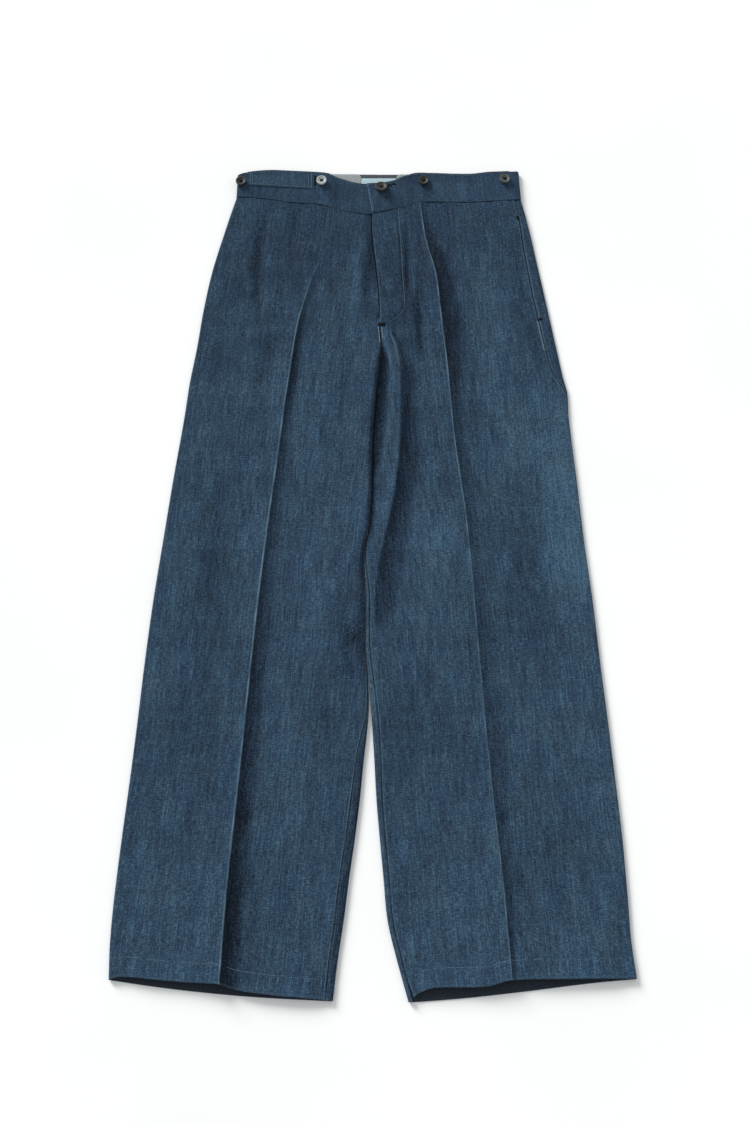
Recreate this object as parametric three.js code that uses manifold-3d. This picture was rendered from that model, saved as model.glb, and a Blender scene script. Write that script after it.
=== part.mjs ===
// Wide denim trousers laid flat on a table, front up, in millimetres.
// +X is the viewer's right, +Y points to the waist, +Z is up from the table.
// Left and right name the viewer's sides.
import * as THREE from 'three';
import { mergeVertices } from 'three/addons/utils/BufferGeometryUtils.js';
import Module from 'manifold-3d';

const wasm = await Module();
wasm.setup();

// Cloth
const DENIM = 1.5;
const HEM_WALL = 2.6;
const BAND_WALL = 2.6;
const LINING_WALL = 1.0;
const POCKET_WALL = 1.2;
const SEAM_GAP = 0.3;
const HALF_GAP = SEAM_GAP / 2;
const LEG_GAP = 0.8;

// Rows down the garment
const WAIST_ROW = 508;
const WAIST_BLEND = 400;
const HEM_ROW = -532;
const HEM_FULL = -505;
const HEM_BLEND = -400;
const CROTCH = 215;
const FLY_FOOT = 321;
const ROWS = [
  WAIST_ROW, 480, 440, 400, 365, 348, 338, 330, FLY_FOOT, 312, 285, 250, CROTCH, 190, 150,
  100, 50, 15, -10, -60, -130, -180, -215, -260, -320, -380, -430, -475, HEM_FULL, -508, -510.5, HEM_ROW,
];

// The outer edge of each leg
const OUTLINE = [
  { y: 508, left: -187, right: 202.3 },
  { y: 465, left: -199.5, right: 211.8 },
  { y: 403, left: -216, right: 222.5 },
  { y: 342, left: -226.5, right: 233 },
  { y: 285, left: -233.5, right: 242.5 },
  { y: 239, left: -240.5, right: 250.5 },
  { y: 218, left: -243, right: 255 },
  { y: 181, left: -246.8, right: 255.8 },
  { y: 96, left: -257.5, right: 262.5 },
  { y: 13, left: -267, right: 268.5 },
  { y: -67, left: -276, right: 276 },
  { y: -146, left: -283, right: 281.8 },
  { y: -222, left: -288.5, right: 288 },
  { y: -297, left: -294.5, right: 293.8 },
  { y: -370, left: -301, right: 299 },
  { y: -442, left: -306.5, right: 302 },
  { y: -488, left: -308.5, right: 303.5 },
  { y: -532, left: -307.8, right: 307.8 },
];

// The inner edge of each leg; down to the fork of the legs the two lie side by side
const INNER = [
  { y: 508, left: 7, right: 7 },
  { y: 400, left: 7.5, right: 7.5 },
  { y: 312, left: 9.4, right: 9.4 },
  { y: 285, left: 10, right: 10 },
  { y: 250, left: 6.8, right: 6.8 },
  { y: 215, left: 3.4, right: 3.4 },
  { y: 150, left: -1, right: -1 },
  { y: 70, left: -2.6, right: -2.6 },
  { y: 30, left: -5.5, right: -5.5 },
  { y: -5, left: -11.5, right: -11.5 },
  { y: -60, left: -9.2, right: -9.2 },
  { y: -130, left: -9.2, right: -9.2 },
  { y: -180, left: -5.4, right: -4.6 },
  { y: -215, left: -5.2, right: -2 },
  { y: -272, left: -10.8, right: 1.6 },
  { y: -322, left: -15.6, right: 4.4 },
  { y: -370, left: -21.5, right: 8.4 },
  { y: -418, left: -28.2, right: 12.8 },
  { y: -465, left: -34, right: 17.2 },
  { y: -511, left: -40.6, right: 28 },
  { y: -558, left: -46.1, right: 41 },
];

// Each side's share of the gap between them, from the crotch down to where the legs part
const PARTING = [
  { y: CROTCH, gap: HALF_GAP },
  { y: 190, gap: LEG_GAP / 2 },
  { y: -180, gap: LEG_GAP / 2 },
  { y: -215, gap: 0 },
];

// The pressed crease of each leg and how far it stands above the cloth beside it
const CREASE = [
  { y: 508, left: -52, right: 64, leftRise: 0, rightRise: 0.6 },
  { y: 440, left: -58, right: 71, leftRise: 0.2, rightRise: 0.8 },
  { y: 396, left: -78, right: 82, leftRise: 0.9, rightRise: 1 },
  { y: 355, left: -92, right: 87.5, leftRise: 1.6, rightRise: 1.1 },
  { y: 319, left: -100.5, right: 91, leftRise: 1.8, rightRise: 1.2 },
  { y: 256, left: -109, right: 97.5, leftRise: 1.8, rightRise: 1.3 },
  { y: 147, left: -121.5, right: 106.5, leftRise: 1.8, rightRise: 1.4 },
  { y: 26, left: -135, right: 120.5, leftRise: 1.8, rightRise: 1.4 },
  { y: -98, left: -147, right: 129, leftRise: 1.8, rightRise: 1.5 },
  { y: -324, left: -164.5, right: 144.5, leftRise: 1.8, rightRise: 1.6 },
  { y: -482, left: -176, right: 160.5, leftRise: 1.7, rightRise: 1.7 },
  { y: -535, left: -178.5, right: 162, leftRise: 2, rightRise: 1.9 },
];
const CREASE_REACH = 38;
const CREASE_STEP = 13;

// The soft fold beside the fork
const FOLD = [
  { y: 508, left: -24, right: 32, leftRise: 0, rightRise: 0 },
  { y: 348, left: -24, right: 32, leftRise: 0, rightRise: 0 },
  { y: 312, left: -22, right: 27, leftRise: 0.2, rightRise: 0.4 },
  { y: 285, left: -22, right: 31, leftRise: 0.6, rightRise: 1.4 },
  { y: 250, left: -26, right: 36, leftRise: 0.8, rightRise: 2.3 },
  { y: 205, left: -32, right: 40, leftRise: 0.9, rightRise: 2.4 },
  { y: 120, left: -38, right: 36, leftRise: 0.7, rightRise: 2.3 },
  { y: 64, left: -40, right: 29.5, leftRise: 0.5, rightRise: 1.9 },
  { y: -5, left: -46, right: 19, leftRise: 0.2, rightRise: 1.2 },
  { y: -70, left: -44, right: 20, leftRise: 0, rightRise: 0.6 },
  { y: -123, left: -44, right: 24, leftRise: 0, rightRise: 0 },
  { y: -535, left: -78, right: 78, leftRise: 0, rightRise: 0 },
];
const FOLD_REACH = 26;

// Wall of a panel, height of the front's upper face, and thickness over each leg's inner fold
const BODY = [
  { y: 508, wall: DENIM, top: 5.7, leftInner: 5.2, rightInner: 3.6 },
  { y: 440, wall: DENIM, top: 4.9, leftInner: 5, rightInner: 3.6 },
  { y: 380, wall: DENIM, top: 4.5, leftInner: 4.8, rightInner: 3.6 },
  { y: 312, wall: DENIM, top: 4.5, leftInner: 4.6, rightInner: 3.8 },
  { y: 285, wall: DENIM, top: 4.5, leftInner: 5.6, rightInner: 3.6 },
  { y: 190, wall: DENIM, top: 4.5, leftInner: 6.4, rightInner: 3.5 },
  { y: 100, wall: DENIM, top: 4.6, leftInner: 6, rightInner: 3.5 },
  { y: 15, wall: DENIM, top: 4.6, leftInner: 5, rightInner: 4 },
  { y: -60, wall: DENIM, top: 4.7, leftInner: 4.6, rightInner: 4.6 },
  { y: -475, wall: DENIM, top: 4.9, leftInner: 4.8, rightInner: 4.8 },
  { y: -508, wall: DENIM, top: 5, leftInner: 4.9, rightInner: 4.9 },
  { y: -510.5, wall: HEM_WALL, top: 6.3, leftInner: 6.1, rightInner: 6.1 },
  { y: -532, wall: HEM_WALL, top: 6.8, leftInner: 6.4, rightInner: 6.4 },
];
const EDGE_RUN = 34;

// How far the leg seams lie in from the outline over the upper side; 0 is on the fold itself
const SEAMS = [
  { y: 508, leftOut: 0, rightOut: 8, leftIn: 0, rightIn: 0 },
  { y: 480, leftOut: 0, rightOut: 10.5, leftIn: 0, rightIn: 0 },
  { y: 440, leftOut: 0, rightOut: 13.5, leftIn: 0, rightIn: 0 },
  { y: 365, leftOut: 0, rightOut: 16, leftIn: 0, rightIn: 0 },
  { y: 285, leftOut: 0, rightOut: 15, leftIn: 0, rightIn: 0 },
  { y: 250, leftOut: 0, rightOut: 13, leftIn: 0, rightIn: 0 },
  { y: 215, leftOut: 0, rightOut: 1, leftIn: 0, rightIn: 0 },
  { y: 190, leftOut: 0, rightOut: 0, leftIn: 0, rightIn: 0 },
  { y: 50, leftOut: 0, rightOut: 0, leftIn: 0, rightIn: 0 },
  { y: 15, leftOut: 0, rightOut: 0, leftIn: 0, rightIn: 1.1 },
  { y: -10, leftOut: 0, rightOut: 0, leftIn: 0, rightIn: 2.4 },
  { y: -60, leftOut: 0, rightOut: 0, leftIn: 0, rightIn: 5 },
  { y: -130, leftOut: 0, rightOut: 0, leftIn: 0, rightIn: 5.5 },
  { y: -180, leftOut: 0, rightOut: 0, leftIn: 1.2, rightIn: 6.5 },
  { y: -215, leftOut: 0, rightOut: 0, leftIn: 2.6, rightIn: 8 },
  { y: -260, leftOut: 0, rightOut: 0, leftIn: 8.5, rightIn: 8.5 },
  { y: -320, leftOut: 0, rightOut: 0, leftIn: 10.5, rightIn: 7 },
  { y: -430, leftOut: 0, rightOut: 0, leftIn: 11, rightIn: 6.5 },
  { y: -532, leftOut: 0, rightOut: 0, leftIn: 9, rightIn: 5.5 },
];

// The fly: the right front's edge, the left front's reach under it, and the lift over that
const FLY = [
  { y: 508, edge: -1, reach: 30, lift: 2.9 },
  { y: 480, edge: -1, reach: 30, lift: 2.7 },
  { y: 440, edge: 1.4, reach: 30, lift: 2.4 },
  { y: 400, edge: 5.4, reach: 30, lift: 2.1 },
  { y: 365, edge: 8.4, reach: 29, lift: 2 },
  { y: 348, edge: 9, reach: 24, lift: 2 },
  { y: 338, edge: 9.2, reach: 14, lift: 2 },
  { y: 330, edge: 9.4, reach: -0.3, lift: 2 },
  { y: FLY_FOOT, edge: 9.6, reach: -0.3, lift: 0 },
];
const FLY_STEP = 12;
const LIFT_RUN = 26;

// The waist seam and the upper edge of the waistband across the front and the back
const FRONT_WAIST = [
  { x: -187, seam: 513.5, top: 547 },
  { x: -176, seam: 513.3, top: 551 },
  { x: -144, seam: 510.5, top: 554.5 },
  { x: -113, seam: 504.8, top: 553.2 },
  { x: -73, seam: 502.2, top: 551.2 },
  { x: -59, seam: 498.6, top: 549.6 },
  { x: -41, seam: 492.4, top: 541.8 },
  { x: -24, seam: 489, top: 536.2 },
  { x: -8, seam: 486.6, top: 534.2 },
  { x: 14, seam: 489.5, top: 535.4 },
  { x: 28, seam: 493.2, top: 538.4 },
  { x: 42, seam: 496, top: 545.6 },
  { x: 58, seam: 504, top: 551 },
  { x: 78, seam: 505.8, top: 551 },
  { x: 133, seam: 505.2, top: 548.6 },
  { x: 160, seam: 506.8, top: 551.4 },
  { x: 202, seam: 509.4, top: 552.4 },
];
const BACK_WAIST = [
  { x: -187, seam: 513.5, top: 547 },
  { x: -120, seam: 508.5, top: 551 },
  { x: 7, seam: 507, top: 551.5 },
  { x: 120, seam: 507.5, top: 551.5 },
  { x: 202, seam: 509.4, top: 552.4 },
];

// The hem edge of each leg, above and below
const HEMS = {
  left: {
    front: [
      { x: -308, edge: -534 },
      { x: -292, edge: -529.5 },
      { x: -252, edge: -532.5 },
      { x: -212, edge: -536 },
      { x: -178, edge: -538.5 },
      { x: -158, edge: -543.8 },
      { x: -117, edge: -549.7 },
      { x: -53, edge: -557.6 },
      { x: -46, edge: -558 },
    ],
    back: [
      { x: -308, edge: -534 },
      { x: -252, edge: -542 },
      { x: -194, edge: -548.6 },
      { x: -136, edge: -553.6 },
      { x: -53, edge: -558 },
      { x: -46, edge: -558.2 },
    ],
  },
  right: {
    front: [
      { x: 41, edge: -559.2 },
      { x: 54, edge: -549.5 },
      { x: 72, edge: -544 },
      { x: 132, edge: -542.6 },
      { x: 162, edge: -535.4 },
      { x: 216, edge: -534 },
      { x: 308, edge: -533 },
    ],
    back: [
      { x: 41, edge: -559.4 },
      { x: 57, edge: -558.6 },
      { x: 112, edge: -554.2 },
      { x: 168, edge: -548.2 },
      { x: 258, edge: -537.4 },
      { x: 308, edge: -533 },
    ],
  },
};

// Waistband layers
const BAND_TOP = 6.8;
const BAND_LIFT = 2.9;
const BAND_LIFT_END = 31.5;
const OVERLAP_TOP_X = -8.5;
const BAND_LEAN = { left: 0.8, right: 2.3 };
const FOLD_CLEARANCE = 4;

// Pieces on and inside the waistband
const INSIDE_Z = BAND_WALL + SEAM_GAP;
const LABEL = { left: -16, right: 32, bottom: 515, top: 545.4 };
const LININGS = [
  { side: 'left', left: -92, right: -18, bottom: 519 },
  { side: 'right', left: 38.5, right: 112, bottom: 519 },
];
const LINING_CORNER = 6;
const WATCH_POCKET = { left: -170, right: -81, leftMouth: 531.4, rightMouth: 525.4, topMargin: 1.2 };

// Buttons
const WAIST_BUTTON = { x: 11.2, y: 525, diameter: 17, lean: 16 };
const BRACE_BUTTON = { diameter: 14, lean: 3 };
const BRACE_BUTTONS = [
  { name: 'brace_button_outer_left', x: -181, y: 536.4 },
  { name: 'brace_button_inner_left', x: -70.7, y: 537.5 },
  { name: 'brace_button_inner_right', x: 69.2, y: 537.6 },
  { name: 'brace_button_outer_right', x: 180.7, y: 540 },
];
const BUTTON_THICKNESS = 3.2;
const WAIST_SHANK = BAND_LIFT + 1.9;
const BRACE_SHANK = 1.4;
const BUTTON_SIDES = 16;
const SHANK_RADIUS = 1.3;
const SHANK_SIDES = 8;
const SHANK_DEPTH = 0.35;
const BUTTON_HOLES = 4;
const HOLE_RADIUS = 0.95;
const HOLE_CIRCLE = 2.1;
const HOLE_SIDES = 6;
const BUTTONHOLE = { x: 9.6, y: 524.4, length: 20, width: 3.4, turn: 20 };

// Materials
const denim = (shade) => new THREE.MeshStandardMaterial({ color: shade, roughness: 0.9, metalness: 0 });
const DENIM_FRONT = denim(0x32465a);
const DENIM_BACK = denim(0x2c3f53);
const LINING_CLOTH = denim(0x7f888b);
const LABEL_CLOTH = denim(0xaac6cd);
const HORN = new THREE.MeshStandardMaterial({ color: 0x3c3a36, roughness: 0.35, metalness: 0 });
const SHELL = new THREE.MeshStandardMaterial({ color: 0x8d9190, roughness: 0.3, metalness: 0 });

// Small sums
const mix = (a, b, t) => a + (b - a) * t;
const clamp = (t) => Math.min(Math.max(t, 0), 1);
const radians = (degrees) => (degrees * Math.PI) / 180;

function smooth(t) {
  const c = clamp(t);
  return c * c * (3 - 2 * c);
}

// Slope of a table's column at one row
function slope(table, key, column, i) {
  const before = table[Math.max(i - 1, 0)];
  const after = table[Math.min(i + 1, table.length - 1)];
  return (after[column] - before[column]) / (after[key] - before[key]);
}

// A table's column read between its rows along a smooth curve
function read(table, column, at, key = 'y') {
  const first = table[0];
  const last = table[table.length - 1];
  const up = Math.sign(last[key] - first[key]);
  if ((at - first[key]) * up <= 0) return first[column];
  if ((at - last[key]) * up >= 0) return last[column];
  const i = table.findIndex((row) => (row[key] - at) * up >= 0) - 1;
  const [a, b] = [table[i], table[i + 1]];
  const span = b[key] - a[key];
  const t = (at - a[key]) / span;
  const bend = t * (1 - t) * span;
  const lean = (1 - t) * slope(table, key, column, i) - t * slope(table, key, column, i + 1);
  const chord = (b[column] - a[column]) / span;
  return mix(a[column], b[column], t) + bend * (lean - (1 - 2 * t) * chord);
}

// A table's column read along straight lines between its rows
function readStraight(table, column, at, key = 'y') {
  const i = table.findIndex((row) => row[key] <= at);
  if (i <= 0) return i === 0 ? table[0][column] : table[table.length - 1][column];
  const [a, b] = [table[i - 1], table[i]];
  return mix(a[column], b[column], (at - a[key]) / (b[key] - a[key]));
}

// Height down the garment of a point on a row, which bends with the waist seam and the hem
function rowY(leg, layer, upper, x, row) {
  const toWaist = smooth((row - WAIST_BLEND) / (WAIST_ROW - WAIST_BLEND));
  const toHem = smooth((HEM_BLEND - row) / (HEM_BLEND - HEM_FULL));
  const seam = read(upper ? FRONT_WAIST : BACK_WAIST, 'seam', x, 'x') - HALF_GAP;
  const edge = read(HEMS[leg.name][layer], 'edge', x, 'x');
  return row + toWaist * (seam - WAIST_ROW) + toHem * (edge - HEM_ROW);
}

// All that one row across a leg is worked out from; q runs from the outer edge to the inner one
function rowFacts(leg, row) {
  const { name, inward } = leg;
  const innerRow = row < 0 ? rowY(leg, 'back', false, read(INNER, name, row), row) : row;
  return {
    row,
    outer: inward * read(OUTLINE, name, row),
    inner: inward * read(INNER, name, innerRow) - readStraight(PARTING, 'gap', row),
    crease: inward * read(CREASE, name, row),
    creaseRise: read(CREASE, `${name}Rise`, row),
    fold: inward * read(FOLD, name, row),
    foldRise: read(FOLD, `${name}Rise`, row),
    wall: readStraight(BODY, 'wall', row),
    top: readStraight(BODY, 'top', row),
    outerFold: readStraight(BODY, 'top', row),
    innerFold: readStraight(BODY, `${name}Inner`, row),
    outseam: readStraight(SEAMS, `${name}Out`, row),
    inseam: readStraight(SEAMS, `${name}In`, row),
    fly: row >= FLY_FOOT,
  };
}

// How far the right front is lifted over the left front's edge under it
function flyLift(facts, x) {
  if (!facts.fly) return 0;
  const end = readStraight(FLY, 'edge', facts.row) + readStraight(FLY, 'reach', facts.row) + 3;
  return readStraight(FLY, 'lift', facts.row) * (1 - smooth((x - end) / LIFT_RUN));
}

// Height of a leg's upper face at q
function topHeight(leg, facts, q) {
  const nearCrease = clamp(1 - Math.abs(q - facts.crease) / CREASE_REACH);
  const nearFold = clamp(1 - Math.abs(q - facts.fold) / FOLD_REACH);
  let z = facts.top + facts.creaseRise * nearCrease ** 1.5 + facts.foldRise * smooth(nearFold);
  const fromOuter = smooth((q - facts.outer - facts.outerFold / 2) / EDGE_RUN);
  z = mix(facts.outerFold, z, fromOuter);
  if (facts.fly) return leg.inward < 0 ? z + flyLift(facts, -q) : z;
  const innerRun = Math.min(EDGE_RUN, Math.max(facts.inner - facts.fold, 12));
  return mix(facts.innerFold, z, smooth((facts.inner - facts.innerFold / 2 - q) / innerRun));
}

// Distance round a fold from its middle to a seam that lies some way in over the top
function alongTo(fold, inset) {
  const radius = fold / 2;
  const quarter = (Math.PI * radius) / 2;
  return inset < radius ? (quarter * inset) / radius : quarter + inset - radius;
}

// A point of one face of the wall near a folded edge, as its distance in from the edge and its height
function foldPoint(fold, along, inset, topOf) {
  const radius = fold / 2;
  const quarter = (Math.PI * radius) / 2;
  if (Math.abs(along) < quarter) {
    const angle = along / radius;
    return [radius - (radius - inset) * Math.cos(angle), radius + (radius - inset) * Math.sin(angle)];
  }
  const inFrom = radius + Math.abs(along) - quarter;
  return [inFrom, along > 0 ? topOf(inFrom) - inset : inset];
}

// Distances round a fold for the columns of a front, from its seam up on to the top
function frontKnots(fold, seam) {
  const quarter = (Math.PI * fold) / 4;
  const start = seam + HALF_GAP;
  const places = [start, quarter / 3, (2 * quarter) / 3, quarter].map((k, i) => Math.max(k, start + 0.3 * i));
  places.push(Math.max(quarter, start + 0.9) + 3);
  return places;
}

// Distances round a fold for the columns of a back, from its seam round to the underside
function backKnots(fold, seam) {
  const quarter = (Math.PI * fold) / 4;
  const start = seam - HALF_GAP;
  const ideal = [start, (start + quarter) / 2, quarter, quarter / 3, -quarter / 3, -quarter, -quarter - 3];
  return ideal.map((k, i) => Math.min(k, start - 0.3 * i));
}

// Where a column of a folded edge comes on the inner face, so that the seam's two ends stay parallel
function innerAlong(fold, wall, seam, towards, along) {
  const radius = fold / 2;
  const limit = (towards * Math.PI * radius) / 2;
  if (Math.abs(seam) >= Math.abs(limit) || along * towards >= limit * towards) return along;
  const start = seam + towards * HALF_GAP;
  const innerStart = seam + (towards * HALF_GAP * radius) / (radius - wall);
  return limit - ((limit - along) * (limit - innerStart)) / (limit - start);
}

// Both faces of the wall at the columns of a folded edge; towards is 1 for a front and -1 for a back
function foldColumns(leg, facts, edge, towards) {
  const outside = edge === 'outer';
  const fold = outside ? facts.outerFold : facts.innerFold;
  const seam = alongTo(fold, outside ? facts.outseam : facts.inseam);
  const qAt = (inFrom) => (outside ? facts.outer + inFrom : facts.inner - inFrom);
  const topOf = (inFrom) => topHeight(leg, facts, qAt(inFrom));
  const place = (along, inset) => {
    const [inFrom, z] = foldPoint(fold, along, inset, topOf);
    return { q: qAt(inFrom), z, upper: along > 0 };
  };
  const knots = towards > 0 ? frontKnots(fold, seam) : backKnots(fold, seam);
  return knots.map((along) => ({
    face: place(along, 0),
    back: place(innerAlong(fold, facts.wall, seam, towards, along), facts.wall),
  }));
}

// Both faces of the wall at one column of the open top
function topColumn(leg, facts, q) {
  const z = topHeight(leg, facts, q);
  return { face: { q, z, upper: true }, back: { q, z: z - facts.wall, upper: true } };
}

// Columns of the fly end, where a front ends flat
function flyColumns(leg, facts) {
  const edge = readStraight(FLY, 'edge', facts.row);
  const end = leg.inward > 0 ? edge + readStraight(FLY, 'reach', facts.row) : -edge;
  return [1, 0.66, 0.36, 0.14, 0].map((part) => topColumn(leg, facts, end - part * FLY_STEP));
}

// One row of a front panel from the outseam to the inseam or the fly
function frontRow(leg, row) {
  const facts = rowFacts(leg, row);
  const start = foldColumns(leg, facts, 'outer', 1);
  const end = facts.fly ? flyColumns(leg, facts) : foldColumns(leg, facts, 'inner', 1).reverse();
  const from = start[start.length - 1].face.q;
  const to = end[0].face.q;
  const { crease } = facts;
  const fold = Math.min(facts.fold, to - 6);
  const between = fold - crease;
  const near = Math.min(CREASE_STEP, between / 5);
  const far = Math.min(CREASE_REACH, between / 2.2);
  const middle = [
    mix(from, crease - CREASE_REACH, 0.25),
    mix(from, crease - CREASE_REACH, 0.62),
    crease - CREASE_REACH,
    crease - CREASE_STEP,
    crease,
    crease + near,
    crease + far,
    mix(crease + far, fold, 0.55),
    fold,
    mix(fold, to, 0.5),
  ].map((q) => topColumn(leg, facts, q));
  return toRow(leg, 'front', row, [...start, ...middle, ...end]);
}

// One row of a back panel from the outseam, under the leg, to the inseam
function backRow(leg, row) {
  const facts = rowFacts(leg, row);
  const start = foldColumns(leg, facts, 'outer', -1);
  const end = foldColumns(leg, facts, 'inner', -1).reverse();
  const from = start[start.length - 1].face.q;
  const to = end[0].face.q;
  const middle = [0.33, 0.67].map((part) => {
    const q = mix(from, to, part);
    return { face: { q, z: 0, upper: false }, back: { q, z: facts.wall, upper: false } };
  });
  return toRow(leg, 'back', row, [...start, ...middle, ...end]);
}

// Columns of a row given their places in the garment's own frame
function toRow(leg, layer, row, columns) {
  const place = ({ q, z, upper }) => {
    const x = leg.inward * q;
    return new THREE.Vector3(x, rowY(leg, layer, upper, x, row), z);
  };
  return { face: columns.map((c) => place(c.face)), back: columns.map((c) => place(c.back)) };
}

// Six times the volume inside a list of triangles
function signedVolume(points, triangles) {
  let sum = 0;
  for (let i = 0; i < triangles.length; i += 3) {
    const [a, b, c] = [points[triangles[i]], points[triangles[i + 1]], points[triangles[i + 2]]];
    sum += a.dot(b.clone().cross(c));
  }
  return sum;
}

// A closed wall of cloth from rows that give its two faces
function cloth(rows) {
  const columns = rows[0].face.length;
  const size = rows.length * columns;
  const points = [...rows.flatMap((r) => r.face), ...rows.flatMap((r) => r.back)];
  const triangles = [];
  const quad = (a, b, c, d) => triangles.push(a, b, c, a, c, d);
  const at = (i, j) => i * columns + j;
  for (let i = 0; i < rows.length - 1; i += 1) {
    for (let j = 0; j < columns - 1; j += 1) {
      const [a, b, c, d] = [at(i, j), at(i, j + 1), at(i + 1, j + 1), at(i + 1, j)];
      quad(a, b, c, d);
      triangles.push(a + size, c + size, b + size, a + size, d + size, c + size);
    }
    const left = [at(i, 0), at(i + 1, 0)];
    const right = [at(i, columns - 1), at(i + 1, columns - 1)];
    quad(left[0], left[1], left[1] + size, left[0] + size);
    quad(right[1], right[0], right[0] + size, right[1] + size);
  }
  for (let j = 0; j < columns - 1; j += 1) {
    const last = rows.length - 1;
    quad(at(0, j + 1), at(0, j), at(0, j) + size, at(0, j + 1) + size);
    quad(at(last, j), at(last, j + 1), at(last, j + 1) + size, at(last, j) + size);
  }
  if (signedVolume(points, triangles) < 0) triangles.reverse();
  const geometry = new THREE.BufferGeometry().setFromPoints(points);
  geometry.setIndex(triangles);
  return geometry;
}

// A half of the waistband: back layer, side fold and front layer, with the panels' own columns
function bandGeometry(leg) {
  const facts = rowFacts(leg, WAIST_ROW);
  const quarter = (Math.PI * BAND_TOP) / 4;
  const radius = BAND_TOP / 2;
  const foldEnd = facts.outer + radius + FOLD_CLEARANCE;
  const backQ = backRow(leg, WAIST_ROW).face.map((p) => leg.inward * p.x).reverse();
  const frontQ = frontRow(leg, WAIST_ROW).face.map((p) => leg.inward * p.x);
  const under = backQ.filter((q, i) => i > 0 && q > foldEnd && backQ[i - 1] - q > 1);
  const over = frontQ.filter((q, i) => i > 0 && q > foldEnd && q - frontQ[i - 1] > 1);
  const centre = facts.inner;
  const arc = [-1, -0.6, -0.2, 0.2, 0.6, 1].map((part) => (part * quarter) / radius);
  const liftAt = (x) => (leg.inward < 0 ? BAND_LIFT * (1 - smooth((x - BAND_LIFT_END) / LIFT_RUN)) : 0);
  const columns = (inset) => [
    ...[centre, ...under].map((q) => ({ q, z: inset, layer: BACK_WAIST })),
    ...arc.map((a) => ({
      q: facts.outer + radius - (radius - inset) * Math.cos(a),
      z: radius + (radius - inset) * Math.sin(a),
      layer: a < 0 ? BACK_WAIST : FRONT_WAIST,
      lean: BAND_LEAN[leg.name],
    })),
    ...over.map((q) => ({ q, z: BAND_TOP - inset + liftAt(leg.inward * q), layer: FRONT_WAIST })),
  ];
  const row = (part) => {
    const place = ({ q, z, layer, lean = 0 }, i, all) => {
      const overlap = leg.inward < 0 && i === all.length - 1;
      const x = overlap ? mix(-q, OVERLAP_TOP_X, part) : leg.inward * (q + lean * part);
      const low = read(layer, 'seam', x, 'x') + HALF_GAP;
      return new THREE.Vector3(x, mix(low, read(layer, 'top', x, 'x'), part), z);
    };
    return { face: columns(0).map(place), back: columns(BAND_WALL).map(place) };
  };
  return cloth([0, 0.5, 1].map(row));
}

// A flat patch of cloth lying at a height
function patchGeometry(corners, steps, z, wall) {
  const rows = [0, 0.5, 1].map((part) => {
    const at = (height) => Array.from({ length: steps + 1 }, (_, i) => {
      const x = mix(corners.left, corners.right, i / steps);
      return new THREE.Vector3(x, mix(corners.bottomAt(x), corners.topAt(x), part), height);
    });
    return { face: at(z + wall), back: at(z) };
  });
  return cloth(rows);
}

// The flap of the watch pocket on the left half of the band
function watchPocketGeometry() {
  const { left, right, leftMouth, rightMouth, topMargin } = WATCH_POCKET;
  const bottomAt = (x) => mix(leftMouth, rightMouth, (x - left) / (right - left));
  const topAt = (x) => read(FRONT_WAIST, 'top', x, 'x') - topMargin;
  return patchGeometry({ left, right, bottomAt, topAt }, 6, BAND_TOP + SEAM_GAP, POCKET_WALL);
}

// A strip of lining inside the back of the band, its end towards the middle rounded
function liningGeometry({ side, left, right, bottom }) {
  const end = side === 'left' ? right : left;
  const bottomAt = () => bottom;
  const topAt = (x) => {
    const near = clamp(1 - Math.abs(x - end) / LINING_CORNER);
    return read(BACK_WAIST, 'top', x, 'x') - 0.6 - LINING_CORNER * (1 - Math.sqrt(1 - near * near)) * 0.6;
  };
  return patchGeometry({ left, right, bottomAt, topAt }, 12, INSIDE_Z, LINING_WALL);
}

function labelGeometry() {
  const { left, right, bottom, top } = LABEL;
  return patchGeometry({ left, right, bottomAt: () => bottom, topAt: () => top }, 4, INSIDE_Z, LINING_WALL);
}

// Solids for cutting and joining
function toSolid(geometry) {
  const bare = geometry.clone();
  bare.deleteAttribute('normal');
  bare.deleteAttribute('uv');
  const merged = mergeVertices(bare, 1e-4);
  return new wasm.Manifold(new wasm.Mesh({
    numProp: 3,
    vertProperties: new Float32Array(merged.attributes.position.array),
    triVerts: new Uint32Array(merged.index.array),
  }));
}

function toGeometry(solid) {
  const mesh = solid.getMesh();
  const geometry = new THREE.BufferGeometry();
  geometry.setAttribute('position', new THREE.BufferAttribute(mesh.vertProperties, 3));
  geometry.setIndex(new THREE.BufferAttribute(mesh.triVerts, 1));
  return geometry;
}

// A round bar standing on the XY plane at a place
function bar(radius, sides, low, high, x = 0, y = 0) {
  const geometry = new THREE.CylinderGeometry(radius, radius, high - low, sides);
  geometry.rotateX(Math.PI / 2);
  geometry.translate(x, y, (low + high) / 2);
  return geometry;
}

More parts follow.
